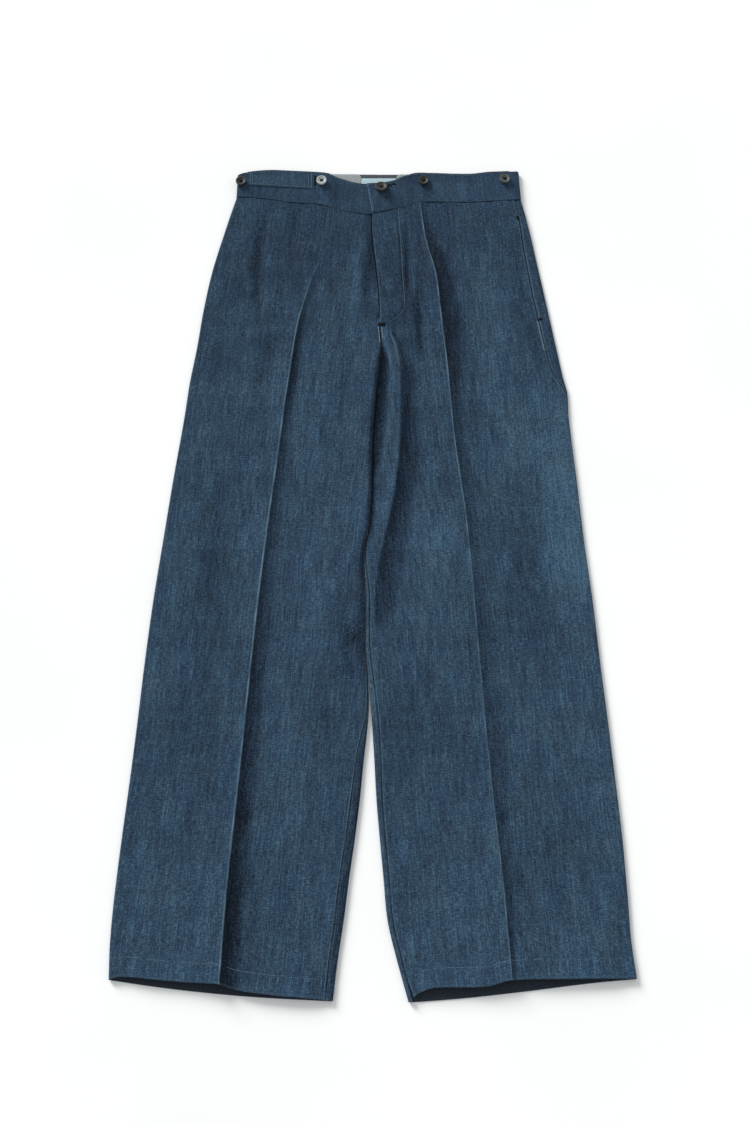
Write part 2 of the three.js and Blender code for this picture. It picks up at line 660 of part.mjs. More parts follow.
// A dished four-hole button leaning on an upright thread shank; the middle of its underside is at 0
function buttonGeometry({ diameter, lean }, shank) {
  const r = diameter / 2;
  const t = BUTTON_THICKNESS;
  const profile = [
    [0, 0],
    [r * 0.62, 0],
    [r, t * 0.45],
    [r * 0.97, t * 0.8],
    [r * 0.86, t],
    [r * 0.72, t * 0.94],
    [r * 0.56, t * 0.68],
    [0, t * 0.62],
  ].map(([x, y]) => new THREE.Vector2(x, y));
  const disc = new THREE.LatheGeometry(profile, BUTTON_SIDES);
  disc.rotateX(Math.PI / 2);
  let button = toSolid(disc);
  for (let i = 0; i < BUTTON_HOLES; i += 1) {
    const angle = ((i + 0.5) * 2 * Math.PI) / BUTTON_HOLES;
    const [x, y] = [HOLE_CIRCLE * Math.cos(angle), HOLE_CIRCLE * Math.sin(angle)];
    button = button.subtract(toSolid(bar(HOLE_RADIUS, HOLE_SIDES, -1, t + 1, x, y)));
  }
  const leaning = toGeometry(button).rotateX(radians(-lean));
  const thread = bar(SHANK_RADIUS, SHANK_SIDES, -shank, t * SHANK_DEPTH);
  return toGeometry(toSolid(leaning).add(toSolid(thread)));
}

// The slot that the waist button passes through
function buttonholeGeometry() {
  const { x, y, length, width, turn } = BUTTONHOLE;
  const half = width / 2;
  const slot = new THREE.Shape();
  slot.absarc(0, 0, half, Math.PI / 2, (3 * Math.PI) / 2, false);
  slot.absarc(length, 0, half, -Math.PI / 2, Math.PI / 2, false);
  slot.closePath();
  const depth = BAND_LIFT + BAND_WALL + 2;
  const geometry = new THREE.ExtrudeGeometry(slot, { depth, bevelEnabled: false, curveSegments: 5 });
  geometry.rotateZ(radians(turn));
  geometry.translate(x, y, BAND_TOP + HALF_GAP);
  return geometry;
}

// The scene
const LEGS = {
  left: { name: 'left', inward: 1 },
  right: { name: 'right', inward: -1 },
};

const trousers = new THREE.Group();

function add(name, geometry, material) {
  const mesh = new THREE.Mesh(geometry, material);
  mesh.name = name;
  trousers.add(mesh);
  return mesh;
}

for (const leg of Object.values(LEGS)) {
  add(`front_leg_${leg.name}`, cloth(ROWS.map((row) => frontRow(leg, row))), DENIM_FRONT);
  add(`back_leg_${leg.name}`, cloth(ROWS.map((row) => backRow(leg, row))), DENIM_BACK);
}

add('waistband_left', bandGeometry(LEGS.left), DENIM_FRONT);
const rightBand = toSolid(bandGeometry(LEGS.right)).subtract(toSolid(buttonholeGeometry()));
add('waistband_right', toGeometry(rightBand), DENIM_FRONT);
add('watch_pocket', watchPocketGeometry(), DENIM_FRONT);
for (const lining of LININGS) add(`waist_lining_${lining.side}`, liningGeometry(lining), LINING_CLOTH);
add('waist_label', labelGeometry(), LABEL_CLOTH);

// The waist button is sewn to the left half of the band, under the buttonhole
const waistButton = add('waist_button', buttonGeometry(WAIST_BUTTON, WAIST_SHANK), HORN);
waistButton.position.set(WAIST_BUTTON.x, WAIST_BUTTON.y, BAND_TOP + SEAM_GAP + WAIST_SHANK);

for (const { name, x, y } of BRACE_BUTTONS) {
  const material = name.endsWith('inner_left') ? SHELL : HORN;
  const button = add(name, buttonGeometry(BRACE_BUTTON, BRACE_SHANK), material);
  button.position.set(x, y, BAND_TOP + SEAM_GAP + BRACE_SHANK);
}

export default trousers;
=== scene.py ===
import math

import bpy
from mathutils import Matrix, Vector, noise
from mathutils.bvhtree import BVHTree


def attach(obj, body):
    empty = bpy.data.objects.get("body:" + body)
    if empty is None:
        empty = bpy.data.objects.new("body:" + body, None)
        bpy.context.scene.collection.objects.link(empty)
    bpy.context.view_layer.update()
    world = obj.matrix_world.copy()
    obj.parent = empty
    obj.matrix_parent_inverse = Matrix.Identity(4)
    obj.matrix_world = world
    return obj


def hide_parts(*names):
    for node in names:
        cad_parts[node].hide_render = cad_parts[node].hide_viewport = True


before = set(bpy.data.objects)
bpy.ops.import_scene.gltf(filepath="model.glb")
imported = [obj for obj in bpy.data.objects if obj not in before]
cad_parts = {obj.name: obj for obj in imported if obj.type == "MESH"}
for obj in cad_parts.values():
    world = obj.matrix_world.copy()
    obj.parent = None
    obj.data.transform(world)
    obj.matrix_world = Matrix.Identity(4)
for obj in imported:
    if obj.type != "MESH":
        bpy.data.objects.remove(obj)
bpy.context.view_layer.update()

MM = 0.001


def table(names, rows):
    return {name: [row[i] for row in rows] for i, name in enumerate(names.split())}


# Cloth
DENIM_WALL = 1.2
BAND_WALL = 2.3
LINING_WALL = 0.9
POCKET_WALL = 1.0
SEAM_GROOVE = 0.45
CLOTH_FLOOR = 2.8

# Rounding of cut edges: how far, in how many steps, and from what angle on
ROUNDING = {"band": (0.75, 3, 50), "patch": (0.3, 2, 50), "button": (0.75, 4, 60)}

# The cloth's unevenness in three sizes: height, change across, change down and shift of the pattern
CLOTH_WAVES = ((0.75, 0.011, 0.006, 0), (0.38, 0.034, 0.013, 3), (0.13, 0.1, 0.045, 7))

# Rows down the garment
WAIST_ROW = 508
WAIST_BLEND = 400
HEM_ROW = -532
HEM_FULL = -505
HEM_BLEND = -400
HEM_STITCH_ROW = -509.5
FLY_FOOT = 321
FORK_TOP = 288
FORK_BLEND = 262
FORK_FOOT = -180
PUCKER_ROW = 440
ROW_STEPS = {"edge": 1.6, "fine": 2.5, "plain": 5}

# The outer edge of each leg
OUTLINE = table("y left right", [
    (508, -187, 202.3),
    (465, -199.5, 211.8),
    (403, -216, 222.5),
    (342, -226.5, 233),
    (285, -233.5, 242.5),
    (239, -240.5, 250.5),
    (218, -243, 255),
    (181, -246.8, 255.8),
    (96, -257.5, 262.5),
    (13, -267, 268.5),
    (-67, -276, 276),
    (-146, -283, 281.8),
    (-222, -288.5, 288),
    (-297, -294.5, 293.8),
    (-370, -301, 299),
    (-442, -306.5, 302),
    (-488, -308.5, 303.5),
    (-532, -307.8, 307.8),
])

# The inner edge of each leg; down to the fork of the legs the two lie side by side
INNER = table("y left right", [
    (508, 7, 7),
    (400, 7.5, 7.5),
    (312, 9.4, 9.4),
    (285, 10, 10),
    (250, 6.8, 6.8),
    (215, 3.4, 3.4),
    (150, -1, -1),
    (70, -2.6, -2.6),
    (30, -5.5, -5.5),
    (-5, -11.5, -11.5),
    (-60, -9.2, -9.2),
    (-130, -9.2, -9.2),
    (-180, -5.4, -4.6),
    (-215, -5.2, -2),
    (-272, -10.8, 1.6),
    (-322, -15.6, 4.4),
    (-370, -21.5, 8.4),
    (-418, -28.2, 12.8),
    (-465, -34, 17.2),
    (-511, -40.6, 28),
    (-558, -46.1, 41),
])
LEG_GAP = 0.06

# The pressed crease of each leg: its place, its height and the step down on its right
CREASE = table("y left right leftRise leftDrop leftFall rightRise rightDrop rightFall", [
    (508, -52, 64, 0, 0, 12, 1.4, 0.4, 10),
    (463, -55, 69.1, 0.2, 0, 12, 2.4, 0.9, 12),
    (440, -60, 73, 0.5, 0, 12, 3.2, 1.2, 15),
    (396, -80, 84, 1.2, 0, 12, 4.4, 1.7, 20),
    (355, -92, 88.5, 1.8, 0.4, 9, 4.9, 1.8, 24),
    (319, -100.5, 91.8, 2.6, 0.9, 7, 4.9, 1.8, 24),
    (256, -109, 98, 3.1, 1.1, 8, 4.2, 1.7, 20),
    (200, -116, 102, 2.9, 1.0, 8, 3.2, 1.4, 17),
    (147, -121.5, 106.5, 2.6, 0.8, 9, 2.4, 0.9, 13),
    (26, -135, 120.5, 2.5, 0.8, 9, 1.9, 0.6, 11),
    (-98, -147, 129, 2.7, 1.0, 10, 1.7, 0.5, 10),
    (-273, -160.5, 141, 3.4, 1.3, 11, 1.7, 0.5, 10),
    (-442, -174, 156, 4.8, 1.8, 13, 2.0, 0.8, 8),
    (-538, -178.5, 162, 5.6, 1.9, 15, 2.2, 1.0, 8),
])
CREASE_REACH = 38
CREASE_BACK = 34

# How far the cloth stays dark beside a crease, and how dark it is
SHADE = table("y leftWide leftDark rightWide rightDark", [
    (508, 4, 0, 4, 0.2),
    (463, 4, 0, 10, 0.8),
    (396, 4, 0.1, 21, 0.95),
    (355, 12, 0.3, 24, 1.0),
    (319, 12, 0.7, 26, 1.1),
    (256, 10, 1.0, 20, 0.9),
    (200, 10, 0.8, 14, 0.7),
    (147, 12, 0.6, 11, 0.5),
    (26, 15, 0.6, 14, 0.35),
    (-98, 18, 0.8, 18, 0.4),
    (-273, 20, 1.1, 20, 0.55),
    (-442, 20, 1.35, 9, 0.6),
    (-538, 19, 1.4, 6, 0.6),
])

# Broad patches of paler or darker cloth: partly wear and dye, partly painted light and shade on broad folds
WASH_AND_SHADE_PATCHES = {
    "left": [
        {"x": -150, "y": 222, "across": 60, "down": 60, "tone": 0.35},
        {"x": -143, "y": 400, "across": 60, "down": 60, "tone": -0.4},
        {"x": -80, "y": 460, "across": 90, "down": 60, "tone": -0.45},
        {"x": -255, "y": -250, "across": 45, "down": 130, "tone": -0.3},
        {"x": -208, "y": 273, "across": 26, "down": 40, "tone": -0.55},
        {"x": -22, "y": -112, "across": 26, "down": 52, "tone": -0.8},
        {"x": -85, "y": 215, "across": 45, "down": 75, "tone": 0.55},
        {"x": -245, "y": -10, "across": 30, "down": 60, "tone": 0.55},
        {"x": -26, "y": -119, "across": 9, "down": 13, "tone": -1.0},
        {"x": -41, "y": -161, "across": 7, "down": 13, "tone": -0.9},
        {"x": -64, "y": -226, "across": 24, "down": 40, "tone": -0.6},
    ],
    "right": [
        {"x": 252, "y": 100, "across": 45, "down": 150, "tone": 1.1},
        {"x": 240, "y": -20, "across": 42, "down": 60, "tone": 0.65},
        {"x": 48, "y": 395, "across": 42, "down": 95, "tone": -0.85},
        {"x": 82, "y": 10, "across": 30, "down": 60, "tone": 0.9},
        {"x": 185, "y": 150, "across": 45, "down": 120, "tone": 0.65},
        {"x": 292, "y": -340, "across": 26, "down": 80, "tone": 0.5},
        {"x": 35, "y": -240, "across": 35, "down": 90, "tone": -0.45},
    ],
}

# Rows over which the cloth darkens from the hems up to the hips, and how much painted light and shade a soft
# fold adds
WASH_FOOT = -380
WASH_RUN = 760
SOFT_FOLD_LIGHT_AND_SHADE = 0.7

# The shade on the right of a crease: across its whole width, thinning out far off, and close to it
CREASE_SHADE = {"wide": 1.25, "far": 0.45, "near": 0.3}

# The shade along the inner edges: how dark, how far in, its soft run, and its rows with their soft ends
INSEAM_SHADES = {
    "left": [(1.2, 16, 14, (-190, 60, 30, 40)), (0.9, 7, 6, (-60, 40, FORK_TOP, 30))],
    "right": [(1.5, 8, 6, (-15, 40, 150, 40))],
}

# The shade under the fly's edge, in the fold and the hollow beside the fork, and between the legs
FLY_SHADE = {"foot": 325, "valley": 1.5, "gap": 3}
FORK_SHADE = {"fold": 1.75, "fold_end": 0.8, "hollow": 0.7, "hollow_dark": 1.7, "gap": 2.6}

# The dark line in each seam, and painted shade at the pocket's mouth, along the waist seam and on the left
# back's strip over the inner edge; the wear on seams, edges and creases, partly painted highlight
SEAM_SHADE = {"plain": 1.6, "pocket": 2.6, "waist": 2.4, "underlap": 1.1}
WEAR_AND_HIGHLIGHTS = {
    "seam": 0.3, "pocket": 0.44, "below_pocket": 0.4, "hem": 0.3,
    "crease": 0.85, "hollow": 0.5, "fly": 0.32,
    "ridge_highlight_low": 0.12, "ridge_highlight_high": 0.6,
}

# The soft fold beside the fork on the right leg, with the painted shade behind it, and the hollow between it
# and the left leg, with its depth and the darkness of its painted shade
FOLD = table("y x rise drop", [
    (508, 26, 0, 0),
    (330, 24, 0, 0),
    (308, 23, 1.4, 0.5),
    (290, 29, 3.4, 1.0),
    (270, 33, 5.2, 1.4),
    (250, 35.5, 6.2, 1.6),
    (220, 36, 6.8, 1.7),
    (162, 34.5, 6.8, 1.7),
    (114, 31, 6.0, 1.7),
    (64, 24, 4.8, 1.6),
    (12, 12.5, 3.6, 1.4),
    (-34, 4, 2.4, 1.0),
    (-90, 0.5, 1.0, 0.5),
    (-123, 4, 0, 0),
    (-535, 60, 0, 0),
])
FOLD_REACH = 24
FOLD_BACK = 30
FOLD_FALL = {"least": 10, "share": 0.7}
FOLD_SHADE = table("y x", [
    (308, 30),
    (290, 40),
    (250, 55.5),
    (222, 56),
    (179, 58.6),
    (150, 60.9),
    (125, 60),
    (66, 52.5),
    (-3, 43),
    (-55, 32.7),
    (-91, 23.6),
    (-121, 17.5),
])
HOLLOW = table("y x depth dark", [
    (312, 10, 0, 0),
    (291, 13.5, 0.7, 1),
    (273, 19.8, 1, 1),
    (244, 21, 1, 0.9),
    (208, 19.6, 1, 0.6),
    (161, 15.6, 1, 0.4),
    (127, 9.5, 1, 0.3),
    (103, 2.5, 0.8, 0.2),
    (85, -1, 0, 0),
])
HOLLOW_EDGE = 6
HOLLOW_RIM = 1.3

# Height of the front's upper face, and thickness over each leg's folds
BODY = table("y top outer leftInner rightInner", [
    (508, 5.7, 5.7, 5.2, 5.2),
    (440, 4.9, 4.9, 5, 4.9),
    (380, 4.6, 4.5, 4.8, 4.6),
    (321, 4.6, 4.5, 4.8, 4.6),
    (300, 4.6, 4.5, 5.6, 4.2),
    (270, 4.6, 4.5, 8.4, 3.4),
    (230, 4.6, 4.5, 10.6, 3.1),
    (180, 4.6, 4.5, 11.2, 3.1),
    (110, 4.7, 4.6, 10.4, 3.1),
    (50, 4.7, 4.6, 8.6, 3.5),
    (0, 4.8, 4.6, 6.8, 4.2),
    (-60, 4.9, 4.7, 5.2, 4.6),
    (-400, 5.1, 4.9, 4.8, 4.8),
    (-480, 5.6, 5, 4.9, 4.9),
    (-532, 7.2, 6, 5.6, 5.6),
])
OUTER_RUN = 34
INNER_RUN = {"left": 34, "right": 26}

# The hem: its turning, its stitched groove and its small puckers, and how it opens
HEM_TURN = {"rise": 0.55, "groove": 0.45, "pucker": 0.42, "above": 25, "fade": 9}
HEM_MOUTH = {"rise": 2.2, "row": -440, "run": 90}

# The side pocket: the rows that it opens between, and how its mouth gapes
POCKET = {"foot": 326, "head": 484, "run": 6, "below": 280}
POCKET_GAPE = {"groove": 1.6, "rise": 0.9, "at": 1.5, "reach": 5}

# How far the leg seams lie in from the outline over the upper side; 0 is on the fold itself
SEAMS = table("y leftOut rightOut leftIn rightIn", [
    (508, 0, 8, 0, 0),
    (480, 0, 10.5, 0, 0),
    (440, 0, 13.5, 0, 0),
    (365, 0, 16, 0, 0),
    (285, 0, 15, 0, 0),
    (250, 0, 13, 0, 0),
    (215, 0, 1, 0, 0),
    (190, 0, 0, 0, 0),
    (50, 0, 0, 0, 0),
    (15, 0, 0, 0, 1.1),
    (-10, 0, 0, 0, 2.4),
    (-60, 0, 0, 0, 5),
    (-130, 0, 0, 0, 5.5),
    (-180, 0, 0, 1.2, 6.5),
    (-215, 0, 0, 2.6, 8),
    (-260, 0, 0, 8.5, 8.5),
    (-320, 0, 0, 10.5, 7),
    (-430, 0, 0, 11, 6.5),
    (-532, 0, 0, 9, 5.5),
])

# The fly: the right front's edge, the left front's reach under it, and the lift over that
FLY = table("y edge reach lift", [
    (508, -1, 30, 2.9),
    (480, -1, 30, 2.7),
    (440, 1.4, 30, 2.4),
    (400, 5.4, 30, 2.2),
    (365, 8.4, 29, 2.2),
    (348, 9, 24, 2.1),
    (338, 9.2, 14, 2),
    (330, 9.4, 2, 1.6),
    (FLY_FOOT, 9.6, 0, 0),
])
LIFT_RUN = 26
FLY_VALLEY = {"depth": 1.9, "reach": 13, "foot": 355, "head": 440}
FLY_FIELD = {"foot": 300, "left": 5, "right": 60}
FLY_DENT = {"depth": 0.35, "reach": 1.5, "pucker": 0.25, "around": 7}

# The waist seam and the upper edge of the waistband across the front and the back
FRONT_WAIST = table("x seam top", [
    (-187, 513.5, 548),
    (-176, 513.3, 552),
    (-144, 510.5, 555.5),
    (-113, 504.8, 554.4),
    (-73, 502.2, 552),
    (-59, 498.6, 549.6),
    (-41, 492.4, 541.8),
    (-24, 489, 536.2),
    (-8, 486.6, 534.2),
    (14, 489.5, 535.4),
    (28, 493.2, 538.4),
    (42, 496, 545.6),
    (58, 504, 551),
    (78, 505.8, 551),
    (133, 505.2, 549.6),
    (160, 506.8, 552.8),
    (202, 509.4, 554.2),
])
BACK_WAIST = table("x seam top", [
    (-187, 513.5, 548),
    (-120, 508.5, 552),
    (7, 507, 551.5),
    (120, 507.5, 552),
    (202, 509.4, 554.2),
])

# The hem edge of each leg, above and below
HEMS = {
    "left": {
        "front": table("x edge", [
            (-308, -534),
            (-292, -531),
            (-252, -534.8),
            (-212, -538),
            (-178, -540.5),
            (-158, -546.4),
            (-117, -552.2),
            (-53, -557.6),
            (-46, -558),
        ]),
        "back": table("x edge", [
            (-308, -534),
            (-252, -542),
            (-194, -548.6),
            (-136, -553.6),
            (-53, -558),
            (-46, -558.2),
        ]),
    },
    "right": {
        "front": table("x edge", [
            (41, -559.2),
            (54, -549.5),
            (72, -544),
            (132, -542.6),
            (162, -535.4),
            (216, -534),
            (308, -533),
        ]),
        "back": table("x edge", [
            (41, -559.4),
            (57, -558.6),
            (112, -554.2),
            (168, -548.2),
            (258, -537.4),
            (308, -533),
        ]),
    },
}

# Soft folds pressed into the fronts: a line down the cloth, the height beside it and its half width
SOFT_FOLDS = {
    "left": [
        (table("y x", [(490, -149), (470, -151), (431, -155), (385, -156), (330, -157)]), -1.9, 8),
        (table("y x", [(470, -138), (431, -141), (385, -142), (330, -142)]), 0.9, 8),
        (table("y x", [(310, -133), (288, -136), (262, -141), (225, -147)]), -1.5, 11),
        (table("y x", [(440, -5), (400, -6), (370, -7), (345, -9), (322, -11)]), -1.5, 6),
        (table("y x", [(480, -24), (430, -22), (400, -21), (370, -20), (322, -19)]), 1.1, 6),
        (table("y x", [(495, -58), (470, -62), (440, -66), (420, -70)]), 0.8, 7),
        (table("y x", [(-106, -12), (-112, -16), (-121, -26), (-130, -34)]), -1.6, 3.5),
        (table("y x", [(-132, -35), (-140, -32), (-155, -28), (-172, -24)]), -1.4, 3.5),
        (table("y x", [(-120, -24), (-130, -25), (-140, -24), (-150, -20)]), 1.0, 4),
        (table("y x", [(60, -62), (0, -66), (-80, -70), (-160, -78)]), 0.9, 16),
        (table("y x", [(120, -190), (40, -200), (-60, -206), (-160, -214)]), -0.9, 18),
    ],
    "right": [
        (table("y x", [(496, 44), (470, 44.7), (416, 46), (355, 46), (326, 47)]), -1.3, 3.6),
        (table("y x", [(465, 53), (439, 54), (393, 55), (360, 56)]), 1.2, 5),
        (table("y x", [(372, 57), (348, 60), (318, 62), (288, 63.5), (262, 64)]), -2.0, 5),
        (table("y x", [(350, 70), (320, 72), (285, 76), (240, 80)]), 0.9, 6),
        (table("y x", [(320, 16), (305, 17.5), (288, 19), (262, 22)]), 1.5, 2.6),
        (table("y x", [(320, 21), (305, 23.5), (290, 28), (276, 31)]), -0.9, 2.2),
        (table("y x", [(430, 150), (350, 156), (260, 160), (180, 166)]), 0.9, 16),
        (table("y x", [(490, 178), (400, 194), (330, 208), (270, 220), (215, 236)]), -1.1, 8),
        (table("y x", [(150, 190), (60, 196), (-60, 204), (-180, 214)]), -0.9, 18),
    ],
}

# Waistband layers
BAND_HEIGHT = 44
BAND_TOP = 6.8
BAND_LIFT = 2.9
BAND_LIFT_END = 31.5
BACK_SHOWS = 3.6
BACK_JOIN_X = 7
BACK_JOIN_STEP = 1.2
OVERLAP_TOP_X = -8.5
OVERLAP_SLANT = 17
BAND_LEAN = {"left": 0.8, "right": 2.3}
BAND_LEAN_RUN = 50
BAND_SETTLE = 12
BAND_FOLD_MARGIN = 1.5
BAND_DIP = {"x": -49, "depth": 0.9, "reach": 8, "shade": 0.9, "shade_reach": 7}
BAND_PARTS = (
    0, 0.018, 0.04, 0.07, 0.12, 0.2, 0.29, 0.38, 0.47, 0.56, 0.65, 0.74, 0.83, 0.9, 0.95, 0.98, 1,
)
BAND_COLUMNS = {"under": 40, "fold": 12, "over": 84}
BAND_ROUNDING = {"depth": 0.5, "seam": 1.6, "top": 1.8}
BAND_TONE = -0.5
BAND_EDGE_SHADE = {"seam": 1.3, "top": 3.2, "back_top": 1.2, "join": 0.6, "reach": 0.8}

# Pieces on and inside the waistband
INSIDE_Z = 2.9
LABEL = {"left": -16, "right": 32, "bottom": 515, "top": 544.4}
LININGS = {
    "left": {"left": -92, "right": -16.4, "bottom": 519},
    "right": {"left": 32.6, "right": 112, "bottom": 519},
}
LINING_CORNER = 6
WATCH_POCKET = {"left": -170, "right": -81, "left_mouth": 532, "right_mouth": 526, "top_margin": 1.2}

# Buttons
WAIST_BUTTON = {"x": 11.2, "y": 525, "turn": 12, "diameter": 17, "lean": 16, "shank": 4.8}
BRACE_BUTTON = {"diameter": 14, "lean": 3, "shank": 1.4}
BRACE_BUTTONS = {
    "outer_left": {"x": -181, "y": 536.4, "turn": 20},
    "inner_left": {"x": -70.7, "y": 537.5, "turn": 4},
    "inner_right": {"x": 69.2, "y": 537.6, "turn": 33},
    "outer_right": {"x": 180.7, "y": 540, "turn": -12},
}
BUTTON_THICKNESS = 3.2
BUTTON_BASE = BAND_TOP + 0.3
BUTTON_RINGS = ((0.05, 0), (0.12, 0.02), (0.10, -0.05), (0.14, -0.20), (0.12, -0.09))
HOLE_RADIUS = 0.85
HOLE_CIRCLE = 2.4
BUTTON_THREAD = {"apart": 0.34, "radius": 0.5, "sides": 8, "steps": 12}
SHANK_THREAD = {"pitch": 0.42, "radius": 0.36, "around": 1.0, "steps": 12}
BUTTONHOLE = {"x": 9.6, "y": 524.4, "length": 20, "width": 2.6, "turn": 20}

# Stitching
STITCH = {"length": 2.5, "pitch": 3.3, "thickness": 0.62, "sink": 0.28}
TACK = {"spacing": 0.55, "pitch": 9}
FLY_STITCH = [
    (34.8, 492), (36.1, 466.7), (38.3, 431.2), (40.2, 386.8), (41.8, 361.1),
    (42.4, 349), (41, 341), (36, 334), (29.2, 327.5), (21, 322.5),
]


# Small sums
def mix(a, b, t):
    return a + (b - a) * t


def clamp(t):
    return min(max(t, 0.0), 1.0)


def smooth(t):
    c = clamp(t)
    return c * c * (3 - 2 * c)


def bell(distance, reach):
    return math.exp(-((distance / reach) ** 2))


# 1 between two places, with a soft run beyond the low one and before the high one
def between(at, low, low_run, high, high_run):
    return smooth((at - low) / low_run) * smooth((high - at) / high_run)


def uneven(x, y, seed):
    return noise.noise(Vector((x, y, seed)))


# A table's column read between its rows along a smooth curve
def read(rows, column, at, key="y"):
    keys = rows[key]
    values = rows[column]
    up = 1 if keys[-1] > keys[0] else -1
    if (at - keys[0]) * up <= 0:
        return values[0]
    if (at - keys[-1]) * up >= 0:
        return values[-1]
    i = next(n for n, k in enumerate(keys) if (k - at) * up >= 0) - 1

    def slope(n):
        a, b = max(n - 1, 0), min(n + 1, len(keys) - 1)
        return (values[b] - values[a]) / (keys[b] - keys[a])

    span = keys[i + 1] - keys[i]
    t = (at - keys[i]) / span
    chord = (values[i + 1] - values[i]) / span
    lean = (1 - t) * slope(i) - t * slope(i + 1)
    return mix(values[i], values[i + 1], t) + t * (1 - t) * span * (lean - (1 - 2 * t) * chord)


# A table's column read along straight lines between its rows
def read_straight(rows, column, at):
    keys = rows["y"]
    values = rows[column]
    if at >= keys[0]:
        return values[0]
    if at <= keys[-1]:
        return values[-1]
    i = next(n for n, k in enumerate(keys) if k <= at)
    return mix(values[i - 1], values[i], (at - keys[i - 1]) / (keys[i] - keys[i - 1]))


LEGS = {
    "left": {"name": "left", "inward": 1, "seed": 2.3},
    "right": {"name": "right", "inward": -1, "seed": 8.9},
}


# Height down the garment of a point on a row, which bends with the waist seam and the hem
def row_y(leg, layer, upper, x, row):
    to_waist = smooth((row - WAIST_BLEND) / (WAIST_ROW - WAIST_BLEND))
    to_hem = smooth((HEM_BLEND - row) / (HEM_BLEND - HEM_FULL))
    y = row
    if to_waist > 0:
        waist = FRONT_WAIST if upper else BACK_WAIST
        y += to_waist * (read(waist, "seam", x, "x") - WAIST_ROW)
    if to_hem > 0:
        y += to_hem * (read(HEMS[leg["name"]][layer], "edge", x, "x") - HEM_ROW)
    return y


# All that one row across a leg is worked out from; q runs from the outer edge to the inner one
def row_facts(leg, row):
    name, inward = leg["name"], leg["inward"]
    inner_row = row_y(leg, "back", False, read(INNER, name, row), row) if row < 0 else row
    gap = LEG_GAP * (1 - smooth((FORK_FOOT - row) / 35))
    tuck = 0
    if inward < 0 and FORK_FOOT < row < FORK_TOP:
        high = read_straight(BODY, "leftInner", row) / 2
        low = read_straight(BODY, "rightInner", row) / 2
        tuck = max(high - math.sqrt(high**2 - (high - low) ** 2) - 0.1, 0)
    return {
        "row": row,
        "outer": inward * read(OUTLINE, name, row),
        "inner": inward * read(INNER, name, inner_row) - gap / 2 + tuck,
        "crease": read(CREASE, name, row),
        "rise": read(CREASE, f"{name}Rise", row),
        "drop": read(CREASE, f"{name}Drop", row),
        "fall": read(CREASE, f"{name}Fall", row),
        "wide": read(SHADE, f"{name}Wide", row),
        "dark": read(SHADE, f"{name}Dark", row),
        "top": read_straight(BODY, "top", row),
        "outer_fold": read_straight(BODY, "outer", row),
        "inner_fold": read_straight(BODY, f"{name}Inner", row),
        "outseam": read_straight(SEAMS, f"{name}Out", row),
        "inseam": read_straight(SEAMS, f"{name}In", row),
        "fly": row >= FLY_FOOT,
        "flat_end": 1 - smooth((FORK_TOP - row) / (FORK_TOP - FORK_BLEND)),
        "lift": read_straight(FLY, "lift", row),
        "edge": read_straight(FLY, "edge", row),
        "reach": read_straight(FLY, "reach", row),
    }


# A ridge with a gentle left side and a steep step down on its right, which fades back to the level
def step_ridge(d, rise, drop, fall, left_reach, right_reach):
    if d <= 0:
        return rise * clamp(1 + d / left_reach) ** 1.6
    t = clamp(d / fall)
    down = 1 - (1 - t) ** 2
    return rise * (1 - down) - drop * down * (1 - smooth((d - fall) / right_reach))


def line_distance(points, x, y):
    best = 1e9
    for (ax, ay), (bx, by) in zip(points, points[1:]):
        dx, dy = bx - ax, by - ay
        t = clamp(((x - ax) * dx + (y - ay) * dy) / (dx * dx + dy * dy))
        best = min(best, math.hypot(x - ax - t * dx, y - ay - t * dy))
    return best


# How strong a soft fold is on one row: nothing at its two ends and most in the middle
def fold_strength(line, row):
    high, low = line["y"][0], line["y"][-1]
    if not low < row < high:
        return 0.0
    return math.sin(math.pi * (high - row) / (high - low)) ** 0.7


# Creases, folds, puckers and the general unevenness of a front at one place
def front_relief(leg, facts, x):
    row = facts["row"]
    seed = leg["seed"]
    beside = x - facts["crease"]
    z = step_ridge(beside, facts["rise"], facts["drop"], facts["fall"], CREASE_REACH, CREASE_BACK)
    if leg["name"] == "right":
        rise = read(FOLD, "rise", row)
        if rise > 0:
            ridge = read(FOLD, "x", row)
            fall = max(FOLD_FALL["least"], FOLD_FALL["share"] * (read(FOLD_SHADE, "x", row) - ridge))
            z += step_ridge(x - ridge, rise, read(FOLD, "drop", row), fall, FOLD_REACH, FOLD_BACK)
    for line, height, reach in SOFT_FOLDS[leg["name"]]:
        strength = fold_strength(line, row)
        if strength > 0:
            d = x - read(line, "x", row)
            if abs(d) < 3 * reach:
                z += height * strength * bell(d, reach)
    for height, across, down, shift in CLOTH_WAVES:
        z += height * uneven(x * across, row * down, seed + shift)
    if leg["name"] == "left" and row > FLY_VALLEY["foot"]:
        deep = smooth((row - FLY_VALLEY["foot"]) / 45)
        deep *= 1 - 0.6 * smooth((row - FLY_VALLEY["head"]) / 50)
        z -= FLY_VALLEY["depth"] * deep * smooth(1 + (x - facts["edge"]) / FLY_VALLEY["reach"])
    if row > FLY_FIELD["foot"] and FLY_FIELD["left"] < x < FLY_FIELD["right"]:
        near = line_distance(FLY_STITCH, x, row)
        z -= FLY_DENT["depth"] * bell(near, FLY_DENT["reach"])
        pucker = FLY_DENT["pucker"] * bell(near, FLY_DENT["around"])
        z += pucker * uneven(x * 0.12, row * 0.2, seed + 11)
    if row > PUCKER_ROW:
        z += 0.3 * smooth((row - PUCKER_ROW) / 60) * uneven(x * 0.11, row * 0.02, seed + 13)
    return z


